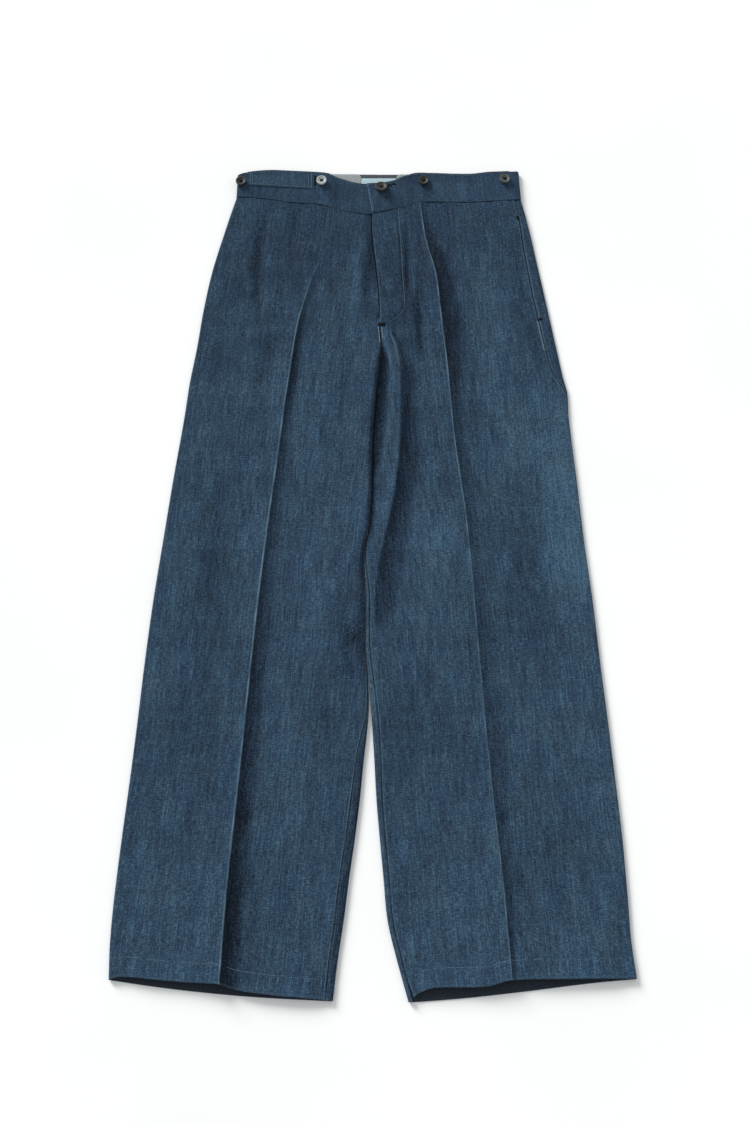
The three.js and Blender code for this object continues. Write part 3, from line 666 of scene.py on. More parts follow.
# The turned-up hem: a thicker edge below a stitched groove, with small slanting puckers
def hem_relief(leg, row, x):
    above = row - HEM_STITCH_ROW
    if above > HEM_TURN["above"]:
        return 0.0
    z = HEM_TURN["rise"] * smooth((1.5 - above) / 2.5) - HEM_TURN["groove"] * bell(above, 1.5)
    pucker = uneven(x * 0.15 + row * 0.06, row * 0.04, leg["seed"] + 17)
    fade = 1 if above < 0 else bell(above, HEM_TURN["fade"])
    return z + HEM_TURN["pucker"] * fade * pucker


# How far the right front is lifted over the left front's edge under it
def fly_lift(facts, x):
    if not facts["fly"]:
        return 0.0
    end = facts["edge"] + facts["reach"] + 3
    return facts["lift"] * (1 - smooth((x - end) / LIFT_RUN))


# Height of a leg's upper face at q
def top_height(leg, facts, q):
    x = leg["inward"] * q
    row = facts["row"]
    relief = front_relief(leg, facts, x)
    width = facts["inner"] - facts["outer"]
    across = clamp((q - facts["outer"]) / width)
    opening = HEM_MOUTH["rise"] * smooth((HEM_MOUTH["row"] - row) / HEM_MOUTH["run"])
    opening *= math.sin(math.pi * across) ** 0.8
    z = facts["top"] + relief + opening + hem_relief(leg, row, x)
    from_outer = smooth((q - facts["outer"] - facts["outer_fold"] / 2) / OUTER_RUN)
    z = mix(facts["outer_fold"] + 0.35 * relief, z, from_outer)
    if facts["fly"]:
        if leg["inward"] < 0:
            z += fly_lift(facts, x)
        return max(z, CLOTH_FLOOR)
    to_inner = smooth((facts["inner"] - facts["inner_fold"] / 2 - q) / INNER_RUN[leg["name"]])
    z = mix(facts["inner_fold"] + 0.3 * relief, z, to_inner)
    if leg["inward"] < 0:
        depth = read(HOLLOW, "depth", row)
        if depth > 0:
            past = x - read(HOLLOW, "x", row) - HOLLOW_EDGE
            rim = HOLLOW_RIM * depth * bell(past, HOLLOW_EDGE)
            z = mix(z + rim, CLOTH_FLOOR, smooth(-past / HOLLOW_EDGE) * depth)
    return max(z, CLOTH_FLOOR)


# Distance round a fold from its middle to a seam that lies some way in over the top
def along_to(fold, inset):
    radius = fold / 2
    quarter = math.pi * radius / 2
    return quarter * inset / radius if inset < radius else quarter + inset - radius


# A point of the outer face near a folded edge, as its distance in from the edge and its height
def fold_point(fold, along, inset, top_of):
    radius = fold / 2
    quarter = math.pi * radius / 2
    if abs(along) < quarter:
        angle = along / radius
        return (radius - (radius - inset) * math.cos(angle), radius + (radius - inset) * math.sin(angle))
    in_from = radius + abs(along) - quarter
    return (in_from, top_of(in_from) - inset if along > 0 else inset)


# Columns across a panel
EDGE_COLUMNS = 9
CREASE_COLUMNS = 38
FORK_COLUMNS = 64
FINE_COLUMNS = 16
LAST_COLUMNS = 3
UNDER_COLUMNS = 26
FLAT_APPROACH = (9, 5.5, 2.8, 1.0)
FLAT_BENDS = {"fly": (0, 40, 80, 120, 155), "cut": (0, 25, 50, 72, 90)}
FLAT_RADIUS = {"fly": 1.3, "underlap": 0.3, "seam": 0.9}


# Columns round a folded edge, from its seam; towards is 1 for a front and -1 for a back
def fold_columns(leg, facts, edge, towards):
    outside = edge == "outer"
    fold = facts["outer_fold"] if outside else facts["inner_fold"]
    seam = along_to(fold, facts["outseam"] if outside else facts["inseam"])
    quarter = math.pi * fold / 4
    end = max(quarter, seam + 1.2) + 3 if towards > 0 else -quarter - 3
    row = facts["row"]
    mouth = between(row, POCKET["foot"], POCKET["run"], POCKET["head"], POCKET["run"])
    gapes = outside and leg["inward"] < 0 and towards > 0 and mouth > 0

    def q_at(d):
        return facts["outer"] + d if outside else facts["inner"] - d

    columns = []
    for i in range(EDGE_COLUMNS):
        part = i / (EDGE_COLUMNS - 1)
        along = mix(seam, end, part**1.3)
        groove = SEAM_GROOVE * math.exp(-abs(along - seam) / 1.1)
        if gapes:
            past = along - seam - POCKET_GAPE["at"]
            raised = POCKET_GAPE["rise"] * mouth * bell(past, POCKET_GAPE["reach"])
            groove = groove * POCKET_GAPE["groove"] - raised
        in_from, z = fold_point(fold, along, groove, lambda d: top_height(leg, facts, q_at(d)))
        columns.append({"q": q_at(in_from), "z": z, "upper": along > 0, "seam": abs(along - seam)})
    return columns


# Columns where a front ends flat: under the fly, at the fly's folded edge, or at the seam below it
def flat_columns(leg, facts):
    if not facts["fly"]:
        kind, end = "seam", facts["inner"]
    elif leg["inward"] > 0:
        kind, end = "underlap", facts["edge"] + facts["reach"]
    else:
        kind, end = "fly", -facts["edge"]
    radius = FLAT_RADIUS[kind]
    columns = []
    for back in FLAT_APPROACH:
        q = end - radius - back
        columns.append({"q": q, "z": top_height(leg, facts, q), "upper": True, "seam": end - q})
    for bend in FLAT_BENDS["fly" if kind == "fly" else "cut"]:
        angle = math.radians(bend)
        q = end - radius + radius * math.sin(angle)
        z = top_height(leg, facts, end - radius) - radius * (1 - math.cos(angle))
        columns.append({"q": q, "z": z, "upper": True, "seam": end - q})
    return columns


# One row of a front panel from the outseam to the inseam, the fly or the seam below it
def front_columns(leg, row):
    facts = row_facts(leg, row)
    start = fold_columns(leg, facts, "outer", 1)
    flat = facts["flat_end"]
    if flat >= 1:
        end = flat_columns(leg, facts)
    else:
        end = fold_columns(leg, facts, "inner", 1)[::-1]
        if flat > 0:
            for c, f in zip(end, flat_columns(leg, facts)):
                c["q"] = mix(c["q"], f["q"], flat)
                c["z"] = mix(c["z"], f["z"], flat)
                c["upper"] = True
    first, last = start[-1]["q"], end[0]["q"]
    crease = leg["inward"] * facts["crease"]
    steps = range(1, CREASE_COLUMNS + 1)
    middle = [crease - (crease - first) * (1 - i / CREASE_COLUMNS) ** 1.4 for i in steps]
    if leg["inward"] > 0:
        fine = min(facts["edge"] - 4.5, last - 8)
        fine_end = fine + 6
        wide = FORK_COLUMNS - FINE_COLUMNS - LAST_COLUMNS - 1
        middle += [mix(crease, fine, 0.5 * ((i / wide) ** 1.4 + i / wide)) for i in range(1, wide + 1)]
        middle += [mix(fine, fine_end, i / FINE_COLUMNS) for i in range(1, FINE_COLUMNS + 1)]
        middle += [mix(fine_end, last, i / (LAST_COLUMNS + 1)) for i in range(1, LAST_COLUMNS + 1)]
    else:
        for i in range(1, FORK_COLUMNS):
            t = i / FORK_COLUMNS
            middle.append(mix(crease, last, 0.3 * t**1.6 + 0.7 * t))
    tops = [{"q": q, "z": top_height(leg, facts, q), "upper": True, "seam": 99} for q in middle]
    return facts, start + tops + end


# One row of a back panel from the outseam, under the leg, to the inseam
def back_columns(leg, row):
    facts = row_facts(leg, row)
    start = fold_columns(leg, facts, "outer", -1)
    end = fold_columns(leg, facts, "inner", -1)[::-1]
    first, last = start[-1]["q"], end[0]["q"]
    middle = []
    for i in range(1, UNDER_COLUMNS):
        q = mix(first, last, i / UNDER_COLUMNS)
        middle.append({"q": q, "z": 0, "upper": False, "seam": 99})
    return facts, start + middle + end


def panel_rows():
    rows = []
    row = float(WAIST_ROW)
    while row > HEM_ROW:
        rows.append(row)
        if row < -498 or row > 502:
            row -= ROW_STEPS["edge"]
        elif row > 500 or FORK_BLEND - 5 < row < 345 or row < -495:
            row -= ROW_STEPS["fine"]
        else:
            row -= ROW_STEPS["plain"]
    rows.append(float(HEM_ROW))
    return rows


def select_only(piece):
    bpy.ops.object.select_all(action="DESELECT")
    piece.select_set(True)
    bpy.context.view_layer.objects.active = piece


def apply_modifiers(piece):
    select_only(piece)
    for modifier in list(piece.modifiers):
        bpy.ops.object.modifier_apply(modifier=modifier.name)


def mesh_piece(name, points, faces):
    mesh = bpy.data.meshes.new(name)
    mesh.from_pydata(points, [], faces)
    for polygon in mesh.polygons:
        polygon.use_smooth = True
    piece = bpy.data.objects.new(name, mesh)
    bpy.context.scene.collection.objects.link(piece)
    return piece


# Cut edges rounded off
def round_edges(piece, width, segments, angle):
    rounding = piece.modifiers.new("rounding", "BEVEL")
    rounding.limit_method = "ANGLE"
    rounding.angle_limit = math.radians(angle)
    rounding.width = width * MM
    rounding.segments = segments
    apply_modifiers(piece)


# A hole in the shape of a tool, which is gone afterwards
def cut_away(piece, tool):
    cut = piece.modifiers.new("cut", "BOOLEAN")
    cut.operation = "DIFFERENCE"
    cut.solver = "EXACT"
    cut.object = tool
    apply_modifiers(piece)
    bpy.data.objects.remove(tool)


# A sheet of cloth from rows of points, with its weave coordinates, its wear with painted highlights and its
# fading with painted shade at each point
def sheet_from_rows(name, rows, weave, wear_and_highlight, fade, materials, wall, turned):
    columns = len(rows[0])
    points = [tuple(c * MM for c in p) for r in rows for p in r]
    faces = []
    for i in range(len(rows) - 1):
        for j in range(columns - 1):
            a = i * columns + j
            quad = (a, a + 1, a + columns + 1, a + columns)
            faces.append(quad[::-1] if turned else quad)
    piece = mesh_piece(name, points, faces)
    mesh = piece.data
    layer = mesh.uv_layers.new(name="weave")
    flat = [uv for r in weave for uv in r]
    for loop in mesh.loops:
        u, v = flat[loop.vertex_index]
        layer.data[loop.index].uv = (u * MM, v * MM)
    # The fade marks also hold painted shade besides the cloth's own tone, and the wear marks painted
    # highlights besides real wear
    for mark, values in (("wear_and_highlight", wear_and_highlight), ("fade", fade)):
        marks = mesh.attributes.new(mark, "FLOAT", "POINT")
        marks.data.foreach_set("value", [w for r in values for w in r])
    for material in materials:
        mesh.materials.append(material)
    thick = piece.modifiers.new("wall", "SOLIDIFY")
    thick.thickness = wall * MM
    thick.offset = -1
    thick.use_even_offset = True
    if len(materials) > 1:
        thick.material_offset = 1
    return piece


# The straight grain of each leg: where it starts at the waist, and its lean
GRAIN = {"left": (-86.9, 0.0872), "right": (77, -0.0815)}


def grain_at(side, row):
    start, lean = GRAIN[side]
    return start - lean * (WAIST_ROW - row)


# How far along the cloth a row passes x on its upper side
def run_at(points, run, x):
    for (a, b, u, v) in zip(points, points[1:], run, run[1:]):
        if (a[0] - x) * (b[0] - x) <= 0 and a[0] != b[0] and (a[2] > 2 or b[2] > 2):
            return mix(u, v, (x - a[0]) / (b[0] - a[0]))
    return run[len(run) // 2]


# How far along the cloth each point of a row lies
def weave_across(points):
    run = [0.0]
    for a, b in zip(points, points[1:]):
        run.append(run[-1] + math.hypot(b[0] - a[0], b[2] - a[2]))
    return run


# The plain tone of the cloth between the hems and the hips
def down_tone(row, hem, hip):
    return mix(hem, hip, smooth((row - WASH_FOOT) / WASH_RUN))


# The shade at a distance to the right of a crease
def crease_shade(facts, d):
    if d <= 0:
        return 0.0
    edge = 0.3 * facts["wide"]
    shade = CREASE_SHADE["wide"] * (1 - smooth((d - facts["wide"] + edge) / (2 * edge)))
    shade += CREASE_SHADE["far"] * (1 - smooth(d / 60))
    shade += CREASE_SHADE["near"] * (1 - smooth(d / 5))
    return facts["dark"] * smooth(d / 1.2) * shade


# The shade on the left front beside and under the fly's edge
def fly_shade(row, d):
    if row <= FLY_SHADE["foot"] or d >= 4:
        return 0.0
    valley = smooth((row - 370) / 40) * (1 - 0.5 * smooth((row - 430) / 50))
    shade = FLY_SHADE["valley"] * valley * smooth((d + FLY_VALLEY["reach"]) / 9)
    return shade + FLY_SHADE["gap"] * smooth((row - FLY_SHADE["foot"]) / 8) * smooth((d + 2.4) / 1.3)


# The shade on the right front beside the fork: behind the soft fold, in the hollow and along the gap
def fork_shade(row, x):
    shade = 0.0
    rise = read(FOLD, "rise", row)
    d = x - read(FOLD, "x", row)
    end = read(FOLD_SHADE, "x", row) - read(FOLD, "x", row)
    if rise > 0 and 0 < d < end + 5:
        start = mix(3, 9, smooth((row - 120) / 100))
        deep = (FORK_SHADE["fold"] - FORK_SHADE["fold_end"] * clamp(d / end)) * clamp(rise / 1.6)
        shade += deep * smooth(d / start) * (1 - smooth((d - end + 5) / 8))
    depth = read(HOLLOW, "depth", row)
    if depth > 0:
        deep = FORK_SHADE["hollow"] + FORK_SHADE["hollow_dark"] * read(HOLLOW, "dark", row)
        shade += deep * smooth((read(HOLLOW, "x", row) + 1 - x) / 7) * depth
    past = x - read(INNER, "left", row)
    return shade + FORK_SHADE["gap"] * (1 - smooth((past - 1) / 2.6)) * between(row, -40, 40, 240, 30)


# The tone of a front at one place: darker at the hips, paler towards the hems, with broad paler and darker
# patches, and painted shade beside creases, in the folds, under the fly's edge and at the fork
def front_fade_and_shade(leg, facts, x):
    row = facts["row"]
    tone = down_tone(row, -0.18, -0.5)
    tone += 0.4 * uneven(x * 0.013, row * 0.007, leg["seed"] + 41)
    tone += 0.35 * uneven(x * 0.06, row * 0.02, leg["seed"] + 43)
    for part in WASH_AND_SHADE_PATCHES[leg["name"]]:
        away = math.hypot((x - part["x"]) / part["across"], (row - part["y"]) / part["down"])
        tone += part["tone"] * bell(away, 1)
    tone -= crease_shade(facts, x - facts["crease"])
    for line, height, reach in SOFT_FOLDS[leg["name"]]:
        strength = fold_strength(line, row)
        if strength > 0:
            tone += SOFT_FOLD_LIGHT_AND_SHADE * height * strength * bell(x - read(line, "x", row), reach)
    inside = facts["inner"] - leg["inward"] * x
    for dark, reach, run, rows in INSEAM_SHADES[leg["name"]]:
        tone -= dark * smooth((reach - inside) / run) * between(row, *rows)
    if leg["name"] == "left":
        return tone - fly_shade(row, x - facts["edge"])
    return tone - fork_shade(row, x)


# The back's plain tone, with painted shade on the left back's strip that wraps up over the inner edge
def back_fade_and_shade(leg, facts, c, x):
    tone = down_tone(facts["row"], 0.0, -0.5) + 0.7 * uneven(x * 0.015, facts["row"] * 0.008, 91.0)
    underlap = c["upper"] and leg["inward"] > 0 and c["q"] > facts["crease"]
    return tone - SEAM_SHADE["underlap"] if underlap else tone


# Whether a place is on the outer half of the right leg, beside the pocket's mouth
def by_pocket(leg, facts, q):
    outer_half = leg["name"] == "right" and q < (facts["outer"] + facts["inner"]) / 2
    return outer_half and POCKET["foot"] < facts["row"] < POCKET["head"]


# The pale worn line along a crease, which also paints the highlight on its ridge
def crease_wear_and_highlight(leg, facts, x):
    sharp = clamp(facts["rise"] / 2 - 0.12) * (0.8 + 0.6 * uneven(facts["row"] * 0.05, 0, leg["seed"]))
    return WEAR_AND_HIGHLIGHTS["crease"] * sharp * bell(x - facts["crease"] + 0.2, 0.7)


# The wear that only the right front has, added to what it has like the left one: painted highlights on the
# soft fold's ridge and the hollow's rim, the worn and painted-bright fly edge, and wear below the pocket
def right_front_wear_and_highlights(facts, c, x, mark):
    row = facts["row"]
    high = smooth((row - 245) / 25)
    ridge = mix(WEAR_AND_HIGHLIGHTS["ridge_highlight_low"], WEAR_AND_HIGHLIGHTS["ridge_highlight_high"], high) * clamp(read(FOLD, "rise", row) / 2)
    mark += ridge * bell(x - read(FOLD, "x", row), 1.1)
    hollow = WEAR_AND_HIGHLIGHTS["hollow"] * high * read(HOLLOW, "depth", row)
    mark += hollow * bell(x - read(HOLLOW, "x", row) - 2, 1.1)
    if facts["fly"] and c["q"] > -0.5 * facts["crease"]:
        mark = WEAR_AND_HIGHLIGHTS["fly"] * math.exp(-c["seam"] / 0.9) * (1 - 0.6 * smooth((row - 420) / 40))
    if POCKET["below"] < row < POCKET["foot"] and c["q"] < -1.5 * facts["crease"]:
        mark += WEAR_AND_HIGHLIGHTS["below_pocket"] * bell(c["seam"] - 1.5, 1.2)
    return mark


# Wear with its painted highlights, and tone with its painted shade, at one place of a panel
def panel_marks(leg, layer, facts, c, x):
    row = facts["row"]
    pocket = by_pocket(leg, facts, c["q"])
    seam_wear = WEAR_AND_HIGHLIGHTS["pocket"] if pocket and layer == "back" else WEAR_AND_HIGHLIGHTS["seam"]
    mark = seam_wear * bell(c["seam"] - 1.8, 0.9) + WEAR_AND_HIGHLIGHTS["hem"] * bell(row - HEM_ROW, 2)
    if layer == "front":
        mark += crease_wear_and_highlight(leg, facts, x)
        if leg["name"] == "right":
            mark = right_front_wear_and_highlights(facts, c, x, mark)
        tone = front_fade_and_shade(leg, facts, x)
    else:
        tone = back_fade_and_shade(leg, facts, c, x)
    if not (facts["fly"] and c["q"] > leg["inward"] * facts["crease"]):
        tone -= SEAM_SHADE["pocket" if pocket else "plain"] * math.exp(-c["seam"])
    # Painted shadow under the waistband along the middle of the waist seam
    tone -= SEAM_SHADE["waist"] * bell(WAIST_ROW - row, 1.3) * between(x, -76, 14, 72, 14)
    return mark, tone


# A front or a back of one leg
def leg_panel(leg, layer, materials):
    rows, weave, wear_and_highlight, fade = [], [], [], []
    make = front_columns if layer == "front" else back_columns
    for row in panel_rows():
        facts, columns = make(leg, row)
        points = []
        marks = []
        for c in columns:
            x = leg["inward"] * c["q"]
            points.append((x, row_y(leg, layer, c["upper"], x, row), max(c["z"], 0)))
            marks.append(panel_marks(leg, layer, facts, c, x))
        run = weave_across(points)
        middle = run[len(run) // 2]
        if layer == "front":
            middle = run_at(points, run, grain_at(leg["name"], row))
        rows.append(points)
        weave.append([(leg["inward"] * (u - middle), row) for u in run])
        wear_and_highlight.append([mark for mark, tone in marks])
        fade.append([tone for mark, tone in marks])
    turned = (leg["inward"] > 0) == (layer == "front")
    name = f"{leg['name']}_{layer}_panel"
    return sheet_from_rows(name, rows, weave, wear_and_highlight, fade, materials, DENIM_WALL, turned)


# Materials
def node(tree, kind, x=0, y=0, **settings):
    made = tree.nodes.new(kind)
    made.location = (x, y)
    for key, value in settings.items():
        setattr(made, key, value)
    return made


def new_material(name):
    material = bpy.data.materials.new(name)
    material.use_nodes = True
    tree = material.node_tree
    tree.nodes.clear()
    shader = node(tree, "ShaderNodeBsdfPrincipled", 600, 0)
    output = node(tree, "ShaderNodeOutputMaterial", 900, 0)
    tree.links.new(shader.outputs["BSDF"], output.inputs["Surface"])
    return material, tree, shader


def grain(tree, coordinates, scale, detail, x, y, rough=0.55):
    place = node(tree, "ShaderNodeMapping", x, y)
    place.inputs["Scale"].default_value = scale
    tree.links.new(coordinates, place.inputs["Vector"])
    made = node(tree, "ShaderNodeTexNoise", x + 200, y)
    set_inputs(made, {"Scale": 1.0, "Detail": detail, "Roughness": rough})
    tree.links.new(place.outputs["Vector"], made.inputs["Vector"])
    return made.outputs["Fac"]


def sum_of(tree, first, second, share, x, y):
    made = node(tree, "ShaderNodeMath", x, y, operation="MULTIPLY_ADD")
    tree.links.new(first, made.inputs[0])
    made.inputs[1].default_value = share
    tree.links.new(second, made.inputs[2])
    return made.outputs[0]


def ramp(tree, factor, stops, x, y):
    made = node(tree, "ShaderNodeValToRGB", x, y)
    elements = made.color_ramp.elements
    elements[0].position, elements[0].color = stops[0][0], (*stops[0][1], 1)
    elements[1].position, elements[1].color = stops[-1][0], (*stops[-1][1], 1)
    for position, colour in stops[1:-1]:
        elements.new(position).color = (*colour, 1)
    tree.links.new(factor, made.inputs["Fac"])
    return made.outputs["Color"]


def set_inputs(made, values):
    for socket, value in values.items():
        made.inputs[socket].default_value = value


def add_bump(tree, shader, height, strength, distance):
    bump = node(tree, "ShaderNodeBump", 350, -350)
    set_inputs(bump, {"Strength": strength, "Distance": distance})
    tree.links.new(height, bump.inputs["Height"])
    tree.links.new(bump.outputs["Normal"], shader.inputs["Normal"])


# Denim colours; the deepest is reached mostly where painted shade darkens the cloth, and the worn colour also
# serves for painted highlights
DENIM_DEEP = (0.0050, 0.0095, 0.0160)
DENIM_DARK = (0.0150, 0.0290, 0.0510)
DENIM_MID = (0.0270, 0.0540, 0.0910)
DENIM_PALE = (0.0640, 0.1280, 0.1860)
DENIM_WORN_AND_LIT = (0.1700, 0.2750, 0.3500)
GRAIN_MIDDLE = 2.285


# Washed slub denim: uneven warp and weft threads, cloudy fading, pale wear on creases and edges that partly
# paints highlights, and painted shade from the fade marks
def denim_material(name, tone, contrast):
    material, tree, shader = new_material(name)
    weave = node(tree, "ShaderNodeUVMap", -1500, 0, uv_map="weave").outputs["UV"]
    warp = grain(tree, weave, (760, 170, 1), 2, -1300, 500)
    weft = grain(tree, weave, (170, 760, 1), 2, -1300, 250)
    slub = grain(tree, weave, (430, 28, 1), 1, -1300, 0)
    speck = grain(tree, weave, (950, 620, 1), 1, -1300, -250)
    cloud = grain(tree, weave, (75, 15, 1), 3, -1300, -500, 0.6)
    bars = grain(tree, weave, (14, 60, 1), 3, -1300, -750, 0.6)
    total = sum_of(tree, warp, weft, 1.0, -850, 400)
    total = sum_of(tree, slub, total, 0.7, -700, 300)
    total = sum_of(tree, speck, total, 1.15, -550, 200)
    total = sum_of(tree, cloud, total, 0.42, -400, 100)
    total = sum_of(tree, bars, total, 0.3, -300, 50)
    # Wear marks: real wear with painted highlights on the fold's ridge, the hollow's rim, the creases and the
    # fly's edge
    wear_and_highlight = node(tree, "ShaderNodeAttribute", -500, -200, attribute_name="wear_and_highlight").outputs["Fac"]
    # Fade marks: the cloth's own tone together with painted shade, darkening it down the ramp towards
    # DENIM_DEEP
    fade = node(tree, "ShaderNodeAttribute", -500, -350, attribute_name="fade").outputs["Fac"]
    even = node(tree, "ShaderNodeMath", -250, 100, operation="MULTIPLY_ADD")
    tree.links.new(total, even.inputs[0])
    even.inputs[1].default_value = contrast
    even.inputs[2].default_value = 0.505 + tone - GRAIN_MIDDLE * contrast
    level = sum_of(tree, fade, even.outputs[0], 0.17, -100, 100)
    shades = [(0.0, DENIM_DEEP), (0.22, DENIM_DARK), (0.5, DENIM_MID), (0.85, DENIM_PALE)]
    cloth = ramp(tree, level, shades, 50, 100)
    dye = grain(tree, weave, (30, 20, 1), 3, -700, -600)
    shift = ramp(tree, dye, [(0.35, (1.03, 1.0, 0.96)), (0.65, (0.97, 1.0, 1.05))], -200, -600)
    dyed = node(tree, "ShaderNodeMix", 350, 250, data_type="RGBA", blend_type="MULTIPLY")
    dyed.inputs["Factor"].default_value = 1.0
    tree.links.new(cloth, dyed.inputs["A"])
    tree.links.new(shift, dyed.inputs["B"])
    worn_and_lit = node(tree, "ShaderNodeMix", 550, 100, data_type="RGBA")
    rubbed_and_lit = sum_of(tree, speck, wear_and_highlight, 0.5, 50, -200)
    share = node(tree, "ShaderNodeMath", 200, -200, operation="MULTIPLY")
    tree.links.new(rubbed_and_lit, share.inputs[0])
    tree.links.new(wear_and_highlight, share.inputs[1])
    share.use_clamp = True
    tree.links.new(share.outputs[0], worn_and_lit.inputs["Factor"])
    tree.links.new(dyed.outputs["Result"], worn_and_lit.inputs["A"])
    worn_and_lit.inputs["B"].default_value = (*DENIM_WORN_AND_LIT, 1)
    tree.links.new(worn_and_lit.outputs["Result"], shader.inputs["Base Color"])
    add_bump(tree, shader, total, 0.5, 0.0007)
    set_inputs(shader, {"Roughness": 0.92, "Specular IOR Level": 0.08})
    set_inputs(shader, {"Sheen Weight": 0.03, "Sheen Roughness": 0.5})
    return material


# The wrong side of the cloth, painted near black as painted shade inside the hems
def shaded_inside_material(name):
    material, tree, shader = new_material(name)
    weave = node(tree, "ShaderNodeUVMap", -900, 0, uv_map="weave").outputs["UV"]
    threads = grain(tree, weave, (500, 500, 1), 2, -700, 0)
    shades = [(0.35, (0.008, 0.012, 0.020)), (0.65, (0.022, 0.032, 0.050))]
    tree.links.new(ramp(tree, threads, shades, -200, 0), shader.inputs["Base Color"])
    add_bump(tree, shader, threads, 0.4, 0.0005)
    set_inputs(shader, {"Roughness": 0.95})
    return material


# A plain woven cloth of one colour, with a fine grid of threads
def plain_cloth_material(name, dark, pale, sheen, threads):
    material, tree, shader = new_material(name)
    weave = node(tree, "ShaderNodeUVMap", -900, 0, uv_map="weave").outputs["UV"]
    across = grain(tree, weave, (threads, threads / 9, 1), 2, -700, 200)
    down = grain(tree, weave, (threads / 9, threads, 1), 2, -700, -100)
    total = sum_of(tree, across, down, 1.0, -250, 0)
    half = node(tree, "ShaderNodeMath", -100, 0, operation="MULTIPLY")
    tree.links.new(total, half.inputs[0])
    half.inputs[1].default_value = 0.5
    cloth = ramp(tree, half.outputs[0], [(0.35, dark), (0.65, pale)], 50, 0)
    tree.links.new(cloth, shader.inputs["Base Color"])
    add_bump(tree, shader, total, 0.35, 0.0004)
    set_inputs(shader, {"Roughness": 0.6, "Sheen Weight": sheen})
    return material


# Horn or shell: clouded, with a low polish
def button_material(name, dark, pale, roughness):
    material, tree, shader = new_material(name)
    place = node(tree, "ShaderNodeTexCoord", -900, 0).outputs["Object"]
    streak = grain(tree, place, (160, 520, 300), 4, -700, 0, 0.6)
    tree.links.new(ramp(tree, streak, [(0.3, dark), (0.7, pale)], -200, 0), shader.inputs["Base Color"])
    scratch = grain(tree, place, (1800, 900, 1200), 2, -700, -300)
    add_bump(tree, shader, scratch, 0.15, 0.0002)
    set_inputs(shader, {"Roughness": roughness, "Specular IOR Level": 0.3})
    return material


# Sewing thread with its twist
def thread_material(name, dark, pale):
    material, tree, shader = new_material(name)
    place = node(tree, "ShaderNodeTexCoord", -900, 0).outputs["Object"]
    twist = grain(tree, place, (900, 900, 900), 2, -700, 0)
    tree.links.new(ramp(tree, twist, [(0.35, dark), (0.65, pale)], -200, 0), shader.inputs["Base Color"])
    add_bump(tree, shader, twist, 0.3, 0.0002)
    set_inputs(shader, {"Roughness": 0.85, "Specular IOR Level": 0.1})
    return material


# Columns round a half of the waistband: back layer, side fold and front layer
def band_columns(outer, start, end):
    radius = BAND_TOP / 2
    turn_in = outer + radius + BAND_FOLD_MARGIN
    under, folds, over = BAND_COLUMNS["under"], BAND_COLUMNS["fold"], BAND_COLUMNS["over"]
    columns = []
    for q in [start] + [mix(start - BACK_JOIN_STEP, turn_in, i / (under - 2)) for i in range(under - 1)]:
        columns.append({"q": q, "z": 0, "front": False, "layer": "back"})
    for i in range(1, folds):
        angle = math.pi * (i / folds - 0.5)
        q = outer + radius - radius * math.cos(angle)
        columns.append({"q": q, "z": radius + radius * math.sin(angle), "front": angle > 0, "layer": "fold"})
    for i in range(over):
        q = mix(turn_in, end, 1 - (1 - i / (over - 1)) ** 1.3)
        columns.append({"q": q, "z": BAND_TOP, "front": True, "layer": "front"})
    return columns


# How far the band's front layer stands off its even height at one place
def band_relief(leg, part, from_fold, x, y):
    seed = leg["seed"]
    if leg["inward"] < 0:
        z = BAND_LIFT * (1 - smooth((x - BAND_LIFT_END) / LIFT_RUN))
    else:
        z = -0.35 * smooth((x + 4) / 6) - BAND_DIP["depth"] * bell(x - BAND_DIP["x"], BAND_DIP["reach"])
    up = part * BAND_HEIGHT
    down = BAND_HEIGHT - up
    broad = 0.45 * uneven(x * 0.03, y * 0.02, seed + 23) - 0.2
    fine = 0.22 * uneven(x * 0.09, y * 0.05, seed + 29)
    by_seams = bell(up, 7) + bell(down, 5)
    pucker = 0.16 * by_seams * uneven(x * 0.2 + y * 0.1, y * 0.03, seed + 31)
    rounded = BAND_ROUNDING["depth"] * (bell(up, BAND_ROUNDING["seam"]) + bell(down, BAND_ROUNDING["top"]))
    return z + smooth(from_fold / BAND_SETTLE) * (broad + fine + pucker - rounded)


# How dark the band is at one place: painted shade along its two edges, in its dip and at the centre back,
# over its plain tone
def band_fade_and_shade(leg, part, c, start, x, y):
    up = part * BAND_HEIGHT
    top_shade = BAND_EDGE_SHADE["top"] if c["front"] else BAND_EDGE_SHADE["back_top"]
    dark = BAND_EDGE_SHADE["seam"] * bell(up, BAND_EDGE_SHADE["reach"])
    dark += top_shade * bell(BAND_HEIGHT - up, BAND_EDGE_SHADE["reach"])
    if leg["inward"] > 0 and c["front"]:
        dark += BAND_DIP["shade"] * bell(x - BAND_DIP["x"] + 2, BAND_DIP["shade_reach"])
    if c["layer"] == "back":
        dark += BAND_EDGE_SHADE["join"] * bell(c["q"] - start, 0.6)
    return BAND_TONE - dark + 0.6 * uneven(x * 0.025, y * 0.03, leg["seed"] + 47)


